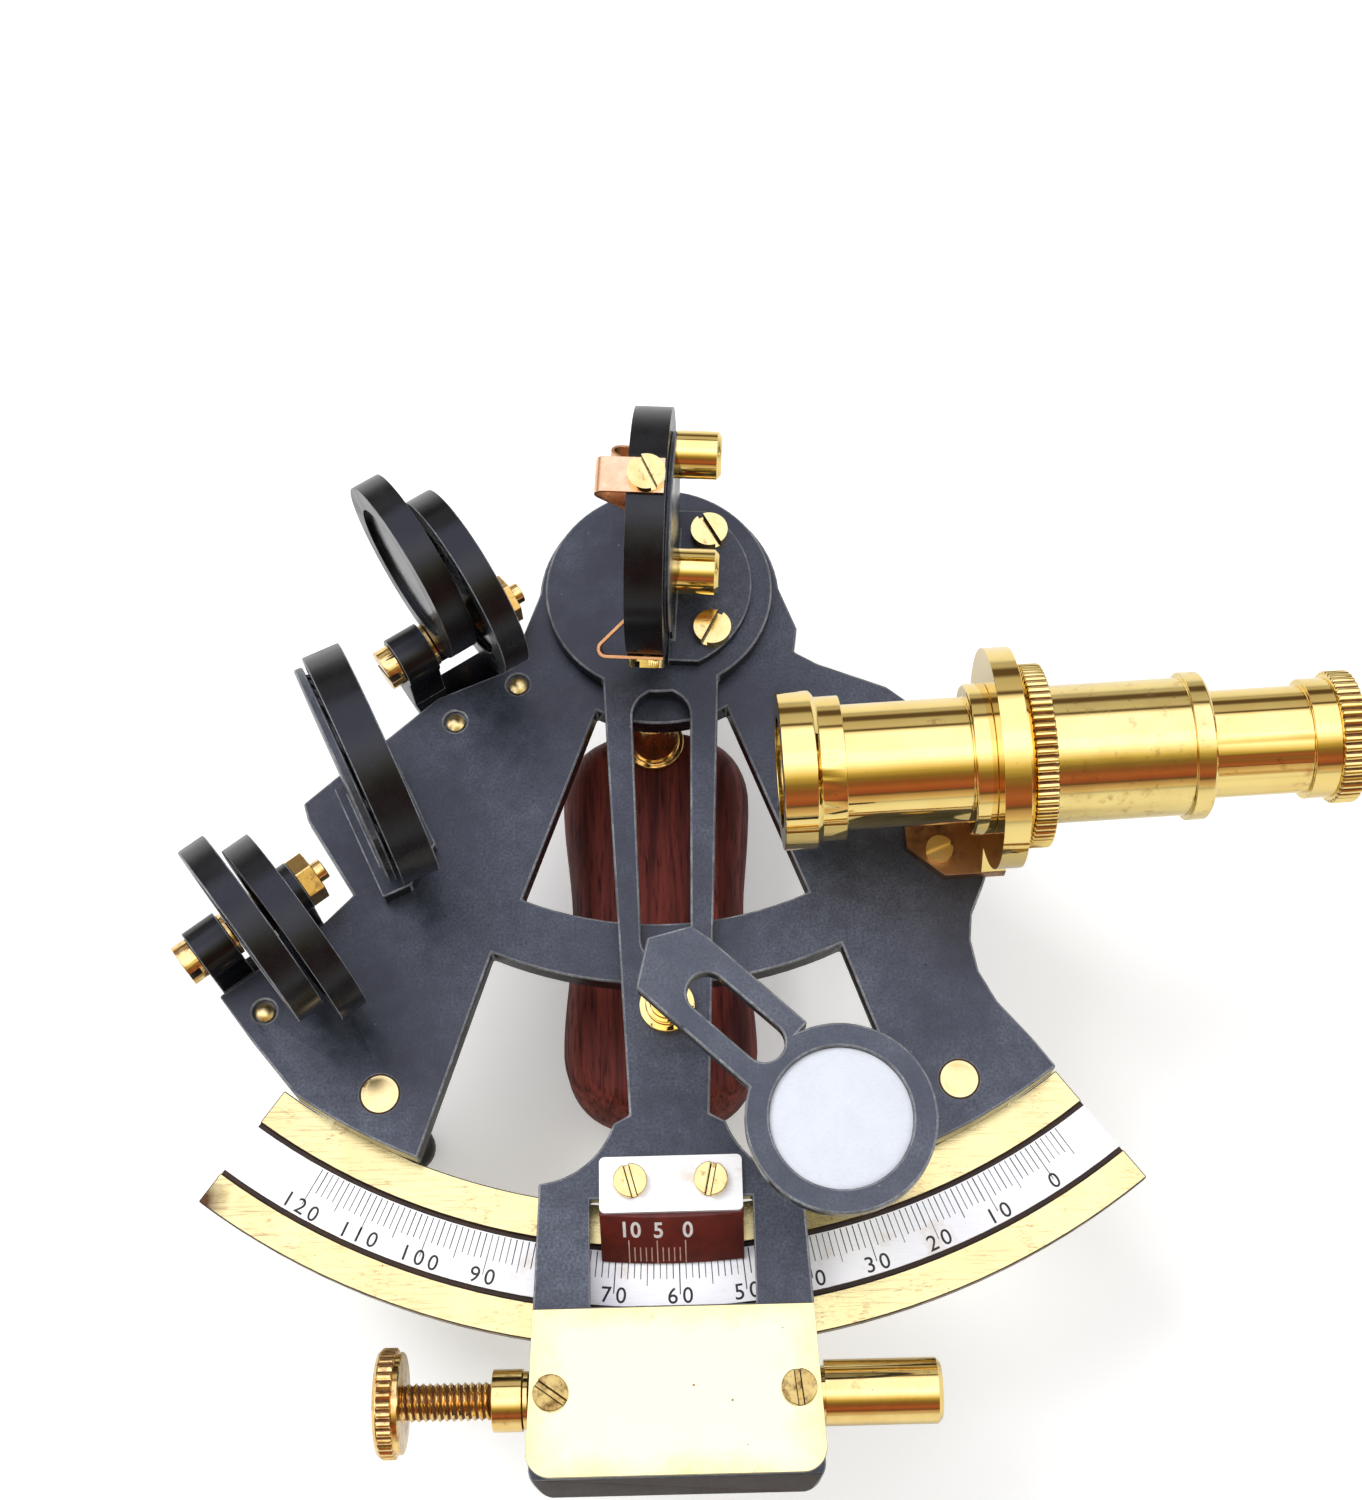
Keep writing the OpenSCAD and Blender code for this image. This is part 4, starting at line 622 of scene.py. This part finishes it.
def turned(name, body, origin, axis, stations, steps, materials, replaced, wave, roots):
    """A piece turned about the axis: stations are (distance, radius, mark) in mm along it.

    wave(distance, mark, turn) gives what is cut off the radius at the stations that have a mark.
    Faces cut deeper than roots mm take the second material.
    """
    along = Vector(axis).normalized()
    side = along.orthogonal().normalized()
    other = along.cross(side)
    start = Vector(origin) * MM
    shape = bmesh.new()
    depth = shape.verts.layers.float.new("depth")
    rings = []
    for distance, radius, mark in stations:
        if radius < 1e-6:
            rings.append([shape.verts.new(start + along * distance * MM)])
            continue
        ring = []
        for k in range(steps):
            turn = k / steps
            cut = wave(distance, mark, turn) if mark else 0.0
            a = 2 * math.pi * turn
            out = side * math.cos(a) + other * math.sin(a)
            point = shape.verts.new(start + (along * distance + out * (radius - cut)) * MM)
            point[depth] = cut
            ring.append(point)
        rings.append(ring)
    for first, second in zip(rings, rings[1:]):
        for k in range(steps):
            n = (k + 1) % steps
            corners = [first[k % len(first)], first[n % len(first)],
                       second[n % len(second)], second[k % len(second)]]
            corners = list(dict.fromkeys(corners))
            if len(corners) > 2:
                face = shape.faces.new(corners)
                mean = sum(corner[depth] for corner in corners) / len(corners)
                face.material_index = 1 if mean > roots else 0
    bmesh.ops.recalc_face_normals(shape, faces=shape.faces)
    shape.verts.layers.float.remove(depth)
    mesh = bpy.data.meshes.new(name)
    shape.to_mesh(mesh)
    shape.free()
    smooth(mesh, 40)
    return finish_mesh(name, body, mesh, materials, replaced)


def knurl(teeth, depth):
    """Wave of a straight knurl with flat crests and narrower roots, depth mm deep."""
    def wave(distance, mark, turn):
        swing = 0.5 - 0.5 * math.cos(2 * math.pi * teeth * turn)
        return depth * mark * swing ** 1.6
    return wave


def thread(pitch, depth):
    """Wave of a single-start thread, depth mm deep."""
    def wave(distance, mark, turn):
        phase = (distance / pitch - turn) % 1.0
        return depth * mark * (1 - abs(2 * phase - 1))
    return wave


# Marks on the arc and the vernier: radii about the index axle, heights and lengths in mm

SCALE_Z = 41.012
LINES_FROM, LONG_END, MIDDLE_END, SHORT_END = 126.75, 133.9, 132.4, 131.2
LINE_HALF_WIDTH, LINE_WIDTH_AT = 0.095, 129
FIGURES_AT = 134.3
MIDDLE_READING, MIDDLE_ANGLE = 60, 0.48
BEVEL_FOOT, BEVEL_TOP = (128.6, 41.6), (122.2, 49.98)
VERNIER_RADIUS, VERNIER_ZERO, VERNIER_STEP = 126, 1.04, 0.45


def on_arc(radius, degrees, height):
    """Point in metres, at a radius and a height in mm and an angle from -Y towards +X."""
    a = math.radians(degrees)
    return Vector((radius * math.sin(a), -radius * math.cos(a), height)) * MM


def reading_angle(reading):
    """Angle of a reading of the scale, whose units are half degrees."""
    return (MIDDLE_READING - reading) / 2 + MIDDLE_ANGLE


def word_outline(word, height, spacing=1.0, bold=0.0):
    """Flat faces of a word, centred, its capitals as high as asked: points and faces."""
    text = bpy.data.curves.new("figures", "FONT")
    text.body = word
    text.align_x = "CENTER"
    text.align_y = "CENTER"
    text.size = height / 0.69
    text.space_character = spacing
    text.offset = bold
    text.resolution_u = 4
    carrier = bpy.data.objects.new("figures", text)
    bpy.context.scene.collection.objects.link(carrier)
    bpy.context.view_layer.update()
    finished = carrier.evaluated_get(bpy.context.evaluated_depsgraph_get())
    flat = bpy.data.meshes.new_from_object(finished)
    points = [v.co.copy() for v in flat.vertices]
    faces = [list(p.vertices) for p in flat.polygons]
    bpy.data.objects.remove(carrier)
    bpy.data.curves.remove(text)
    bpy.data.meshes.remove(flat)
    return points, faces


def marks_piece(name, body, shapes, material):
    """One mesh of many flat marks, each given as points and faces."""
    mesh = bpy.data.meshes.new(name)
    points, faces = [], []
    for some_points, some_faces in shapes:
        faces += [[len(points) + i for i in face] for face in some_faces]
        points += some_points
    mesh.from_pydata([tuple(p) for p in points], [], faces)
    mesh.update()
    return finish_mesh(name, body, mesh, [material])


def scale_marks():
    """Division lines and figures of the scale, with the small errors of hand engraving."""
    hand = random.Random(12)
    lines = []
    for reading in range(-5, 121):
        a = reading_angle(reading)
        if reading % 10 == 0:
            end = LONG_END
        elif reading % 5 == 0:
            end = MIDDLE_END
        else:
            end = SHORT_END + hand.uniform(-0.12, 0.12)
        half = math.degrees((LINE_HALF_WIDTH + hand.uniform(-0.02, 0.02)) / LINE_WIDTH_AT)
        corners = [on_arc(LINES_FROM, a - half, SCALE_Z), on_arc(LINES_FROM, a + half, SCALE_Z),
                   on_arc(end, a + half * 0.8, SCALE_Z), on_arc(end, a - half * 0.8, SCALE_Z)]
        lines.append((corners, [[0, 3, 2, 1]]))
    marks_piece("scale_lines", "frame", lines, ink)
    figures = []
    for reading in range(0, 121, 10):
        a = math.radians(reading_angle(reading))
        points, faces = word_outline(str(reading), 2.7, 1.36, 0.02)
        tilt = hand.uniform(-0.05, 0.05)
        lift = hand.uniform(-0.12, 0.12)
        placed = []
        for p in points:
            radius = FIGURES_AT + lift - p.y - tilt * p.x
            placed.append(Vector((
                radius * math.sin(a) + p.x * math.cos(a),
                -radius * math.cos(a) + p.x * math.sin(a),
                SCALE_Z,
            )) * MM)
        figures.append((placed, faces))
    marks_piece("scale_figures", "frame", figures, ink)


def on_slope(x, up):
    """Point just over the vernier's bevel, up mm above its reading edge along the slope."""
    foot = Vector(BEVEL_FOOT)
    along = (Vector(BEVEL_TOP) - foot).normalized()
    out = Vector((along.y, -along.x))
    radius, height = foot + along * up + out * 0.02
    turn = math.asin(x / radius)
    return on_arc(radius, math.degrees(turn), height)


def vernier_marks():
    """Lines and figures on the vernier's bevel."""
    lines = []
    for k in range(11):
        x = VERNIER_RADIUS * math.sin(math.radians(VERNIER_ZERO - VERNIER_STEP * k))
        start, end = (0.05, 5.3) if k % 5 == 0 else (0.5, 3.7)
        half = 0.1
        corners = [on_slope(x - half, start), on_slope(x + half, start),
                   on_slope(x + half, end), on_slope(x - half, end)]
        lines.append((corners, [[0, 1, 2, 3]]))
    marks_piece("vernier_lines", "index_arm", lines, pink_ink)
    figures = []
    for word, x0 in (("10", -7.3), ("5", -2.35), ("0", 2.75)):
        points, faces = word_outline(word, 3.4, 1.05, 0.1)
        figures.append(([on_slope(x0 + p.x * 0.76, 7.5 + p.y) for p in points], faces))
    marks_piece("vernier_figures", "index_arm", figures, pale_ink)


# Pieces that replace CAD nodes with finer forms: lengths in mm, angles in degrees

LEG_RADIUS, LEG_ANGLE = 111.0, 27.9
LUG_OUTER, LUG_CORNERS, LUG_HALF_ANGLE = 119, 118.65, 4.5
GROOVE_Z, GROOVE_WALLS = 40.4, (125.7, 136.9)
SCREW_Y, SCREW_Z = -151.2, 42.2
SCREW_PITCH, SCREW_RADIUS, THREAD_STEP = 1.2, 3.25, 0.12
HEAD_END = -46.6
SCOPE_AT = (60.3, -46.5, 71.0)
SCOPE_TURN = math.radians(2.2)
SCOPE_AXIS = (math.cos(SCOPE_TURN), math.sin(SCOPE_TURN), 0.0)
SCOPE_FOOT_TOP = 50


def tangent_screw():
    """Tangent screw: knurled head, collar and a real thread as far as the foot."""
    head = [(-51.0, 0.0, 0), (-51.0, 7.9, 0), (-50.85, 8.5, 0), (-50.35, 8.95, 0), (-50.2, 8.95, 0),
            (-50.15, 9.1, 1), (-50.0, 9.25, 1), (-47.9, 9.25, 1), (-47.75, 9.1, 1), (-47.7, 8.7, 0),
            (-47.6, 8.5, 0), (-46.8, 8.5, 0), (HEAD_END, 8.3, 0), (HEAD_END, SCREW_RADIUS, 0)]
    rod = [(HEAD_END + THREAD_STEP * i, SCREW_RADIUS, 1) for i in range(1, 177)]
    plain = [(-25.35, SCREW_RADIUS, 0), (-6.02, SCREW_RADIUS, 0), (-6.02, 0.0, 0)]
    knurls = knurl(34, 0.45)
    turns = thread(SCREW_PITCH, 0.55)

    def wave(distance, mark, turn):
        return knurls(distance, mark, turn) if distance < -47 else turns(distance, mark, turn)

    turned(
        "tangent_screw_turned", "tangent_screw", (0, SCREW_Y, SCREW_Z), (1, 0, 0),
        head + rod + plain, 240, [bronze, root_brown], ("tangent_screw",), wave, 0.3,
    )


def telescope_rings():
    """Knurled lock ring and knurled eyepiece of the telescope."""
    lock = [(2.3, 12.95, 0), (2.3, 14.1, 0), (3.6, 14.1, 0), (3.7, 15.4, 0), (3.85, 16.2, 1),
            (4.05, 16.4, 1), (7.4, 16.4, 1), (7.6, 16.2, 1), (7.8, 15.5, 0), (7.8, 12.95, 0)]
    turned(
        "telescope_lock_ring_turned", "frame", SCOPE_AT, SCOPE_AXIS, lock, 66 * 6,
        [polished, root_brown], ("telescope_lock_ring",), knurl(66, 0.5), 0.2,
    )
    cap = [(56.5, 8.9, 0), (56.5, 8.9, 0), (58.0, 8.9, 0), (58.0, 11.1, 0), (58.1, 11.6, 1),
           (58.3, 11.8, 1), (61.9, 11.8, 1), (62.15, 11.6, 1), (62.4, 10.9, 0), (62.4, 8.2, 0),
           (59.6, 4.0, 0), (56.5, 4.0, 0)]
    turned(
        "eyepiece_ring_turned", "eyepiece", SCOPE_AT, SCOPE_AXIS, cap, 46 * 6,
        [polished, root_brown], ("eyepiece_ring",), knurl(46, 0.45), 0.2,
    )


def handle():
    """Wooden handle: a loft of rounded sections with a slight waist."""
    length, width, thick = 82.0, 37.5, 20.0
    end_r, rim_r, corner_r, waist_depth = 15, 7.5, 6.5, 1.8
    count, sides = 44, 48
    centre = Vector((-2.0, -58.0, 14.0))
    straight = length / 2 - end_r

    def rounding(gap, radius):
        """Share of the radius that an end still has at that gap from its tip."""
        return math.sqrt(max(0.0, 1 - max(0.0, 1 - gap / radius) ** 2))

    shape = bmesh.new()
    rings = []
    for i in range(count + 1):
        y = -math.cos(math.pi * i / count) * length / 2 * 0.999
        gap = length / 2 - abs(y)
        waist = waist_depth * (1 + math.cos(math.pi * min(1, abs(y) / straight))) / 2
        half_w = width / 2 - end_r + end_r * rounding(gap, end_r) - waist
        half_t = thick / 2 - rim_r + rim_r * rounding(gap, rim_r)
        corner = min(corner_r, half_w * 0.95, half_t * 0.9)
        ring = []
        for k in range(sides):
            a = 2 * math.pi * k / sides
            c, s = math.cos(a), math.sin(a)
            x = math.copysign(half_w - corner, c) + corner * c
            z = math.copysign(half_t - corner, s) + corner * s
            ring.append(shape.verts.new((centre + Vector((x, y, z))) * MM))
        rings.append(ring)
    for first, second in zip(rings, rings[1:]):
        for k in range(sides):
            n = (k + 1) % sides
            shape.faces.new([first[k], first[n], second[n], second[k]])
    shape.faces.new(rings[0])
    shape.faces.new(rings[-1])
    bmesh.ops.recalc_face_normals(shape, faces=shape.faces)
    mesh = bpy.data.meshes.new("handle_grip_lofted")
    shape.to_mesh(mesh)
    shape.free()
    smooth(mesh, 50)
    finish_mesh("handle_grip_lofted", "frame", mesh, [wood], ("handle_grip",))


def arc_face(face):
    """Painted shade: near black in the groove round the scale, darker brass on the arc's sides."""
    points = [v.co / MM for v in face.verts]
    radii = [math.hypot(p.x, p.y) for p in points]
    on_floor = all(abs(p.z - GROOVE_Z) < 0.02 for p in points)
    if on_floor or any(all(abs(r - wall) < 0.05 for r in radii) for wall in GROOVE_WALLS):
        return 1
    return 0 if abs(face.normal.z) > 0.5 else 2


def arc_edge(line):
    """Edges of the arc that are rounded: all sharp ones but those of the lugs over the legs."""
    if len(line.link_faces) != 2 or line.calc_face_angle() < math.radians(35):
        return False
    for corner in line.verts:
        x, y = corner.co.x / MM, corner.co.y / MM
        turn = abs(math.degrees(math.atan2(x, -y)))
        if math.hypot(x, y) < LUG_OUTER and abs(turn - LEG_ANGLE) < LUG_HALF_ANGLE:
            return False
    return True


def arc_corner(corner):
    """Corners of the lugs over the legs, whose faces stay as they are."""
    return math.hypot(corner.co.x, corner.co.y) / MM < LUG_CORNERS


def plate_face(face):
    """Tops and undersides keep the plate's tone; sides take a blacker material as painted shade."""
    return 0 if abs(face.normal.z) > 0.5 else 1


def scope_foot_face(face):
    """The foot of the carrying ring is brown, the ring itself is polished."""
    return 1 if face.calc_center_median().z / MM < SCOPE_FOOT_TOP else 0


def barrel_face(face):
    """The part of the telescope's tube behind its carrying ring is more stained."""
    along = (face.calc_center_median() - Vector(SCOPE_AT) * MM).dot(Vector(SCOPE_AXIS))
    return 1 if along > 0 else 0


def place_pieces():
    """Dresses or repaints the nodes of the model, all but those that the functions after it rebuild."""
    # Side faces take a blacker material as painted shade, rounded edges a painted highlight.
    for node, width in (("frame_plate", 0.4), ("index_arm", 0.4), ("mirror_base", 0.3),
                        ("horizon_bracket", 0.3)):
        dressed(node, plate_black, width, edge_highlight, plate_face, (rim_black_and_side_shade,), clamp=False)
    dressed("magnifier_arm", arm_black, 0.4, edge_highlight, plate_face, (rim_black_and_side_shade,), clamp=False)
    dressed("foot_block", plate_black, 0.25, edge_highlight, plate_face, (block_side_shade,), clamp=False)
    for node in ("horizon_frame", "index_mirror_frame", "index_shade_near", "index_shade_far",
                 "horizon_shade_near", "horizon_shade_far", "index_shade_bracket",
                 "horizon_shade_bracket"):
        dressed(node, rim_black_and_side_shade, 0.2, edge_highlight)
    # The arc's groove and rounded edges take painted shade, its sides a darker shaded copy of its brass.
    dressed(
        "limb_arc", arc_brass, 0.2, painted_shade_dark, arc_face, (painted_shade_dark, arc_side_shade),
        round_where=arc_edge, keep_corner=arc_corner, clamp=False,
    )
    dressed("scale_strip", white_silver, 0.0)
    # Its rounded edges take a dark painted shade.
    dressed("vernier_plate", white_silver, 0.12, painted_shade_dark)
    dressed("vernier_strip", red_strip, 0.15)
    dressed("cover_plate", cover_brass, 0.2, root_brown)
    for node in ("limb_pins", "frame_screws"):
        dressed(node, pin_brass, 0.12)
    # Screw slot walls take painted shade.
    for node in ("mirror_screws", "vernier_screws", "handle_screws", "block_screws"):
        dressed(node, screw_brass, 0.2, slots=painted_shade_dark)
    dressed("cover_screws", worn_screw, 0.2, slots=painted_shade_dark)
    for node in ("shade_pins", "shade_nuts"):
        dressed(node, bronze, 0.18, slots=painted_shade_dark)
    dressed("telescope_bracket", polished, 0.25, sort_faces=scope_foot_face, extra=(aged,))
    for node in ("clamp_slider", "clamp_gib", "centre_bearing", "axle_nut", "handle_posts"):
        dressed(node, bronze, 0.25)
    dressed("telescope_tube", polished, 0.18, sort_faces=barrel_face, extra=(stained,))
    dressed("legs", rim_black_and_side_shade, 0.18)
    for node in ("objective_ring", "draw_tube", "magnifier_post", "mirror_adjusters", "clamp_screw"):
        dressed(node, polished, 0.18)
    for node in ("tangent_collar", "spring_barrel"):
        dressed(node, barrel_brass, 0.18)
    dressed("mirror_clips", copper, 0.1)
    for node in ("index_axle", "spring_plunger"):
        repaint(node, steel)
    for node in ("horizon_glass", "index_glass"):
        repaint(node, mirror_silver)
    for node in ("index_shade_near_glass", "index_shade_far_glass",
                 "horizon_shade_near_glass", "horizon_shade_far_glass"):
        repaint(node, dark_glass)
    repaint("objective_lens", clear_lens)
    repaint("eyepiece_lens", clear_lens)
    repaint("magnifier_lens", ground_lens)


def barrel_spring():
    """Coil spring in the barrel, pressed and let out between the plunger and the barrel's end."""
    mesh = nodes["clamp_spring"].data.copy()
    mesh.materials.clear()
    mesh.materials.append(steel)
    spring = bpy.data.objects.new("clamp_spring_pressed", mesh)
    bpy.context.scene.collection.objects.link(spring)
    along = [v.co.x for v in mesh.vertices]
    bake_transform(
        spring, "clamp_slider", "index_arm", (min(along), SCREW_Y * MM, SCREW_Z * MM),
        (max(along), SCREW_Y * MM, SCREW_Z * MM),
    )
    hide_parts("clamp_spring")


def pin_rings():
    """Thin ring of painted shadow round each pin of the arc, just over the plate, in the gap at its seat."""
    inner, outer, height, sides = 3.3, 3.75, 46.012, 48
    rings = []
    for side in (-1, 1):
        middle = on_arc(LEG_RADIUS, side * LEG_ANGLE, height)
        points, faces = [], []
        for k in range(sides):
            turn = 2 * math.pi * k / sides
            out = Vector((math.cos(turn), math.sin(turn), 0.0)) * MM
            points += [middle + out * inner, middle + out * outer]
            n = 2 * ((k + 1) % sides)
            faces.append([2 * k, 2 * k + 1, n + 1, n])
        rings.append((points, faces))
    marks_piece("pin_rings", "frame", rings, painted_shade_dark)


place_pieces()
barrel_spring()
pin_rings()
scale_marks()
vernier_marks()
tangent_screw()
telescope_rings()
handle()


# Studio: everything that is not part of the object, lengths in metres

CAMERA_AT = (0.0066, -0.1930, 0.4226)
CAMERA_BACK = (0.0074, -0.3917, 0.9201)
CAMERA_RIGHT = (0.9996, -0.0223, -0.0175)
CAMERA_LENS, SENSOR_HEIGHT = 51.4, 36
LAMP_TARGET = (0, -0.06, 0.04)
FLOOR_HALF, FLOOR_Z, FADE_FROM, FADE_TO = 4.0, -0.0002, 0.3, 0.9


def seen_directly(tree, rays):
    """1 for what the camera sees by itself or through glass, 0 for reflections and soft light."""
    return calc(tree, "MAXIMUM", rays.outputs["Is Camera Ray"], rays.outputs["Is Transmission Ray"])


def studio_world():
    """Soft room of bright and dim bands about the X axis, plain white behind the object.

    Only reflections see the bands: stops are degrees from straight up towards +Y, with their colour.
    """
    world = bpy.data.worlds.new("studio")
    bpy.context.scene.world = world
    world.use_nodes = True
    tree = world.node_tree
    tree.nodes.clear()
    place = put(tree, "TexCoord")
    parts = put(tree, "SeparateXYZ", {0: place.outputs["Generated"]})
    turn = calc(tree, "ARCTAN2", parts.outputs["Y"], parts.outputs["Z"])
    spread = put(tree, "MapRange", {"Value": turn, "From Min": -math.pi, "From Max": math.pi})
    ramp = put(tree, "ValToRGB", {"Fac": spread.outputs["Result"]})
    bands = ramp.color_ramp
    red, olive, cream = (0.27, 0.09, 0.05), (0.08, 0.055, 0.04), (0.98, 1.0, 1.3)
    stops = [
        (-180, (0.4,) * 3), (-96, (0.5, 0.45, 0.4)), (-90, (0.5, 0.4, 0.3)), (-79, (0.3, 0.2, 0.14)),
        (-76, olive), (-72, (0.2, 0.06, 0.04)), (-64, red), (-54, (0.17, 0.07, 0.04)),
        (-44, (0.17, 0.12, 0.045)), (-35, (0.36, 0.29, 0.11)), (-29, (0.62, 0.54, 0.32)),
        (-19, (0.95, 0.95, 1.0)), (-11, (1.4, 1.4, 1.6)), (0, (1.3, 1.3, 1.6)), (7, cream),
        (38, cream), (43, (0.7, 0.68, 0.7)), (45.5, olive), (48, olive), (51, (0.42, 0.4, 0.38)),
        (66, (0.36, 0.34, 0.32)), (71, olive), (80, olive), (85, (0.36, 0.34, 0.31)),
        (110, (0.34, 0.32, 0.3)), (180, (0.4,) * 3),
    ]
    while len(bands.elements) < len(stops):
        bands.elements.new(0.5)
    for element, (degrees, level) in zip(bands.elements, stops):
        element.position = (degrees + 180) / 360
        element.color = (*level, 1)
    rays = put(tree, "LightPath")
    soft = put(tree, "Background", {"Color": (1, 1, 1, 1), "Strength": 0.62})
    room = put(tree, "Background", {"Color": ramp.outputs["Color"], "Strength": 1.6})
    white = put(tree, "Background", {"Color": (1, 1, 1, 1), "Strength": 1.0})
    glossy = rays.outputs["Is Glossy Ray"]
    shiny = put(tree, "MixShader", {0: glossy, 1: soft.outputs[0], 2: room.outputs[0]})
    seen = seen_directly(tree, rays)
    whole = put(tree, "MixShader", {0: seen, 1: shiny.outputs[0], 2: white.outputs[0]})
    end = tree.nodes.new("ShaderNodeOutputWorld")
    tree.links.new(whole.outputs[0], end.inputs["Surface"])


def studio_floor():
    """Wide pale floor that keeps the shadow; it fades out far away and is clear from underneath."""
    shape = bmesh.new()
    bmesh.ops.create_grid(shape, x_segments=1, y_segments=1, size=FLOOR_HALF)
    mesh = bpy.data.meshes.new("floor")
    shape.to_mesh(mesh)
    shape.free()
    floor = bpy.data.objects.new("floor", mesh)
    floor.location = (0, 0, FLOOR_Z)
    bpy.context.scene.collection.objects.link(floor)
    material, tree, shader = start_finish("floor_white")
    shader.inputs["Base Color"].default_value = (0.85, 0.85, 0.85, 1)
    shader.inputs["Roughness"].default_value = 0.9
    shader.inputs["Specular IOR Level"].default_value = 0.0
    rays = put(tree, "LightPath")
    shader.inputs["Emission Color"].default_value = (1, 1, 1, 1)
    glow = calc(tree, "MULTIPLY", seen_directly(tree, rays), 0.3)
    tree.links.new(glow, shader.inputs["Emission Strength"])
    side = put(tree, "NewGeometry")
    place = put(tree, "TexCoord")
    far = put(tree, "VectorMath", {0: place.outputs["Object"]}, operation="LENGTH")
    fade = put(
        tree, "MapRange", {"Value": far.outputs["Value"], "From Min": FADE_FROM, "From Max": FADE_TO}
    )
    faded = calc(tree, "MULTIPLY", fade.outputs["Result"], rays.outputs["Is Camera Ray"])
    gone = calc(tree, "MAXIMUM", side.outputs["Backfacing"], faded)
    clear = put(tree, "BsdfTransparent")
    whole = put(tree, "MixShader", {0: gone, 1: shader.outputs[0], 2: clear.outputs[0]})
    tree.links.new(whole.outputs[0], tree.nodes["Material Output"].inputs["Surface"])
    mesh.materials.append(material)


def lamp(name, place, size, power):
    """Square soft lamp that looks at the object and that reflections don't show."""
    data = bpy.data.lights.new(name, "AREA")
    data.shape = "SQUARE"
    data.size = size
    data.energy = power
    made = bpy.data.objects.new(name, data)
    made.location = place
    made.rotation_mode = "QUATERNION"
    made.rotation_quaternion = (Vector(LAMP_TARGET) - Vector(place)).to_track_quat("-Z", "Y")
    made.visible_glossy = False
    bpy.context.scene.collection.objects.link(made)


def camera():
    """Camera in the place that the photograph was taken from."""
    data = bpy.data.cameras.new("camera")
    data.sensor_fit = "VERTICAL"
    data.sensor_height = SENSOR_HEIGHT
    data.lens = CAMERA_LENS
    data.clip_start = 0.02
    data.clip_end = 20
    made = bpy.data.objects.new("camera", data)
    bpy.context.scene.collection.objects.link(made)
    back = Vector(CAMERA_BACK).normalized()
    right = Vector(CAMERA_RIGHT)
    right = (right - back * right.dot(back)).normalized()
    up = back.cross(right)
    turn = Matrix((right, up, back)).transposed().to_4x4()
    made.matrix_world = Matrix.Translation(CAMERA_AT) @ turn
    bpy.context.scene.camera = made


studio_world()
studio_floor()
lamp("key_lamp", (-0.55, 0.35, 0.9), 0.6, 9.0)
lamp("fill_lamp", (0.6, -0.5, 0.8), 0.8, 3.0)
camera()
bpy.context.scene.view_settings.view_transform = "Standard"
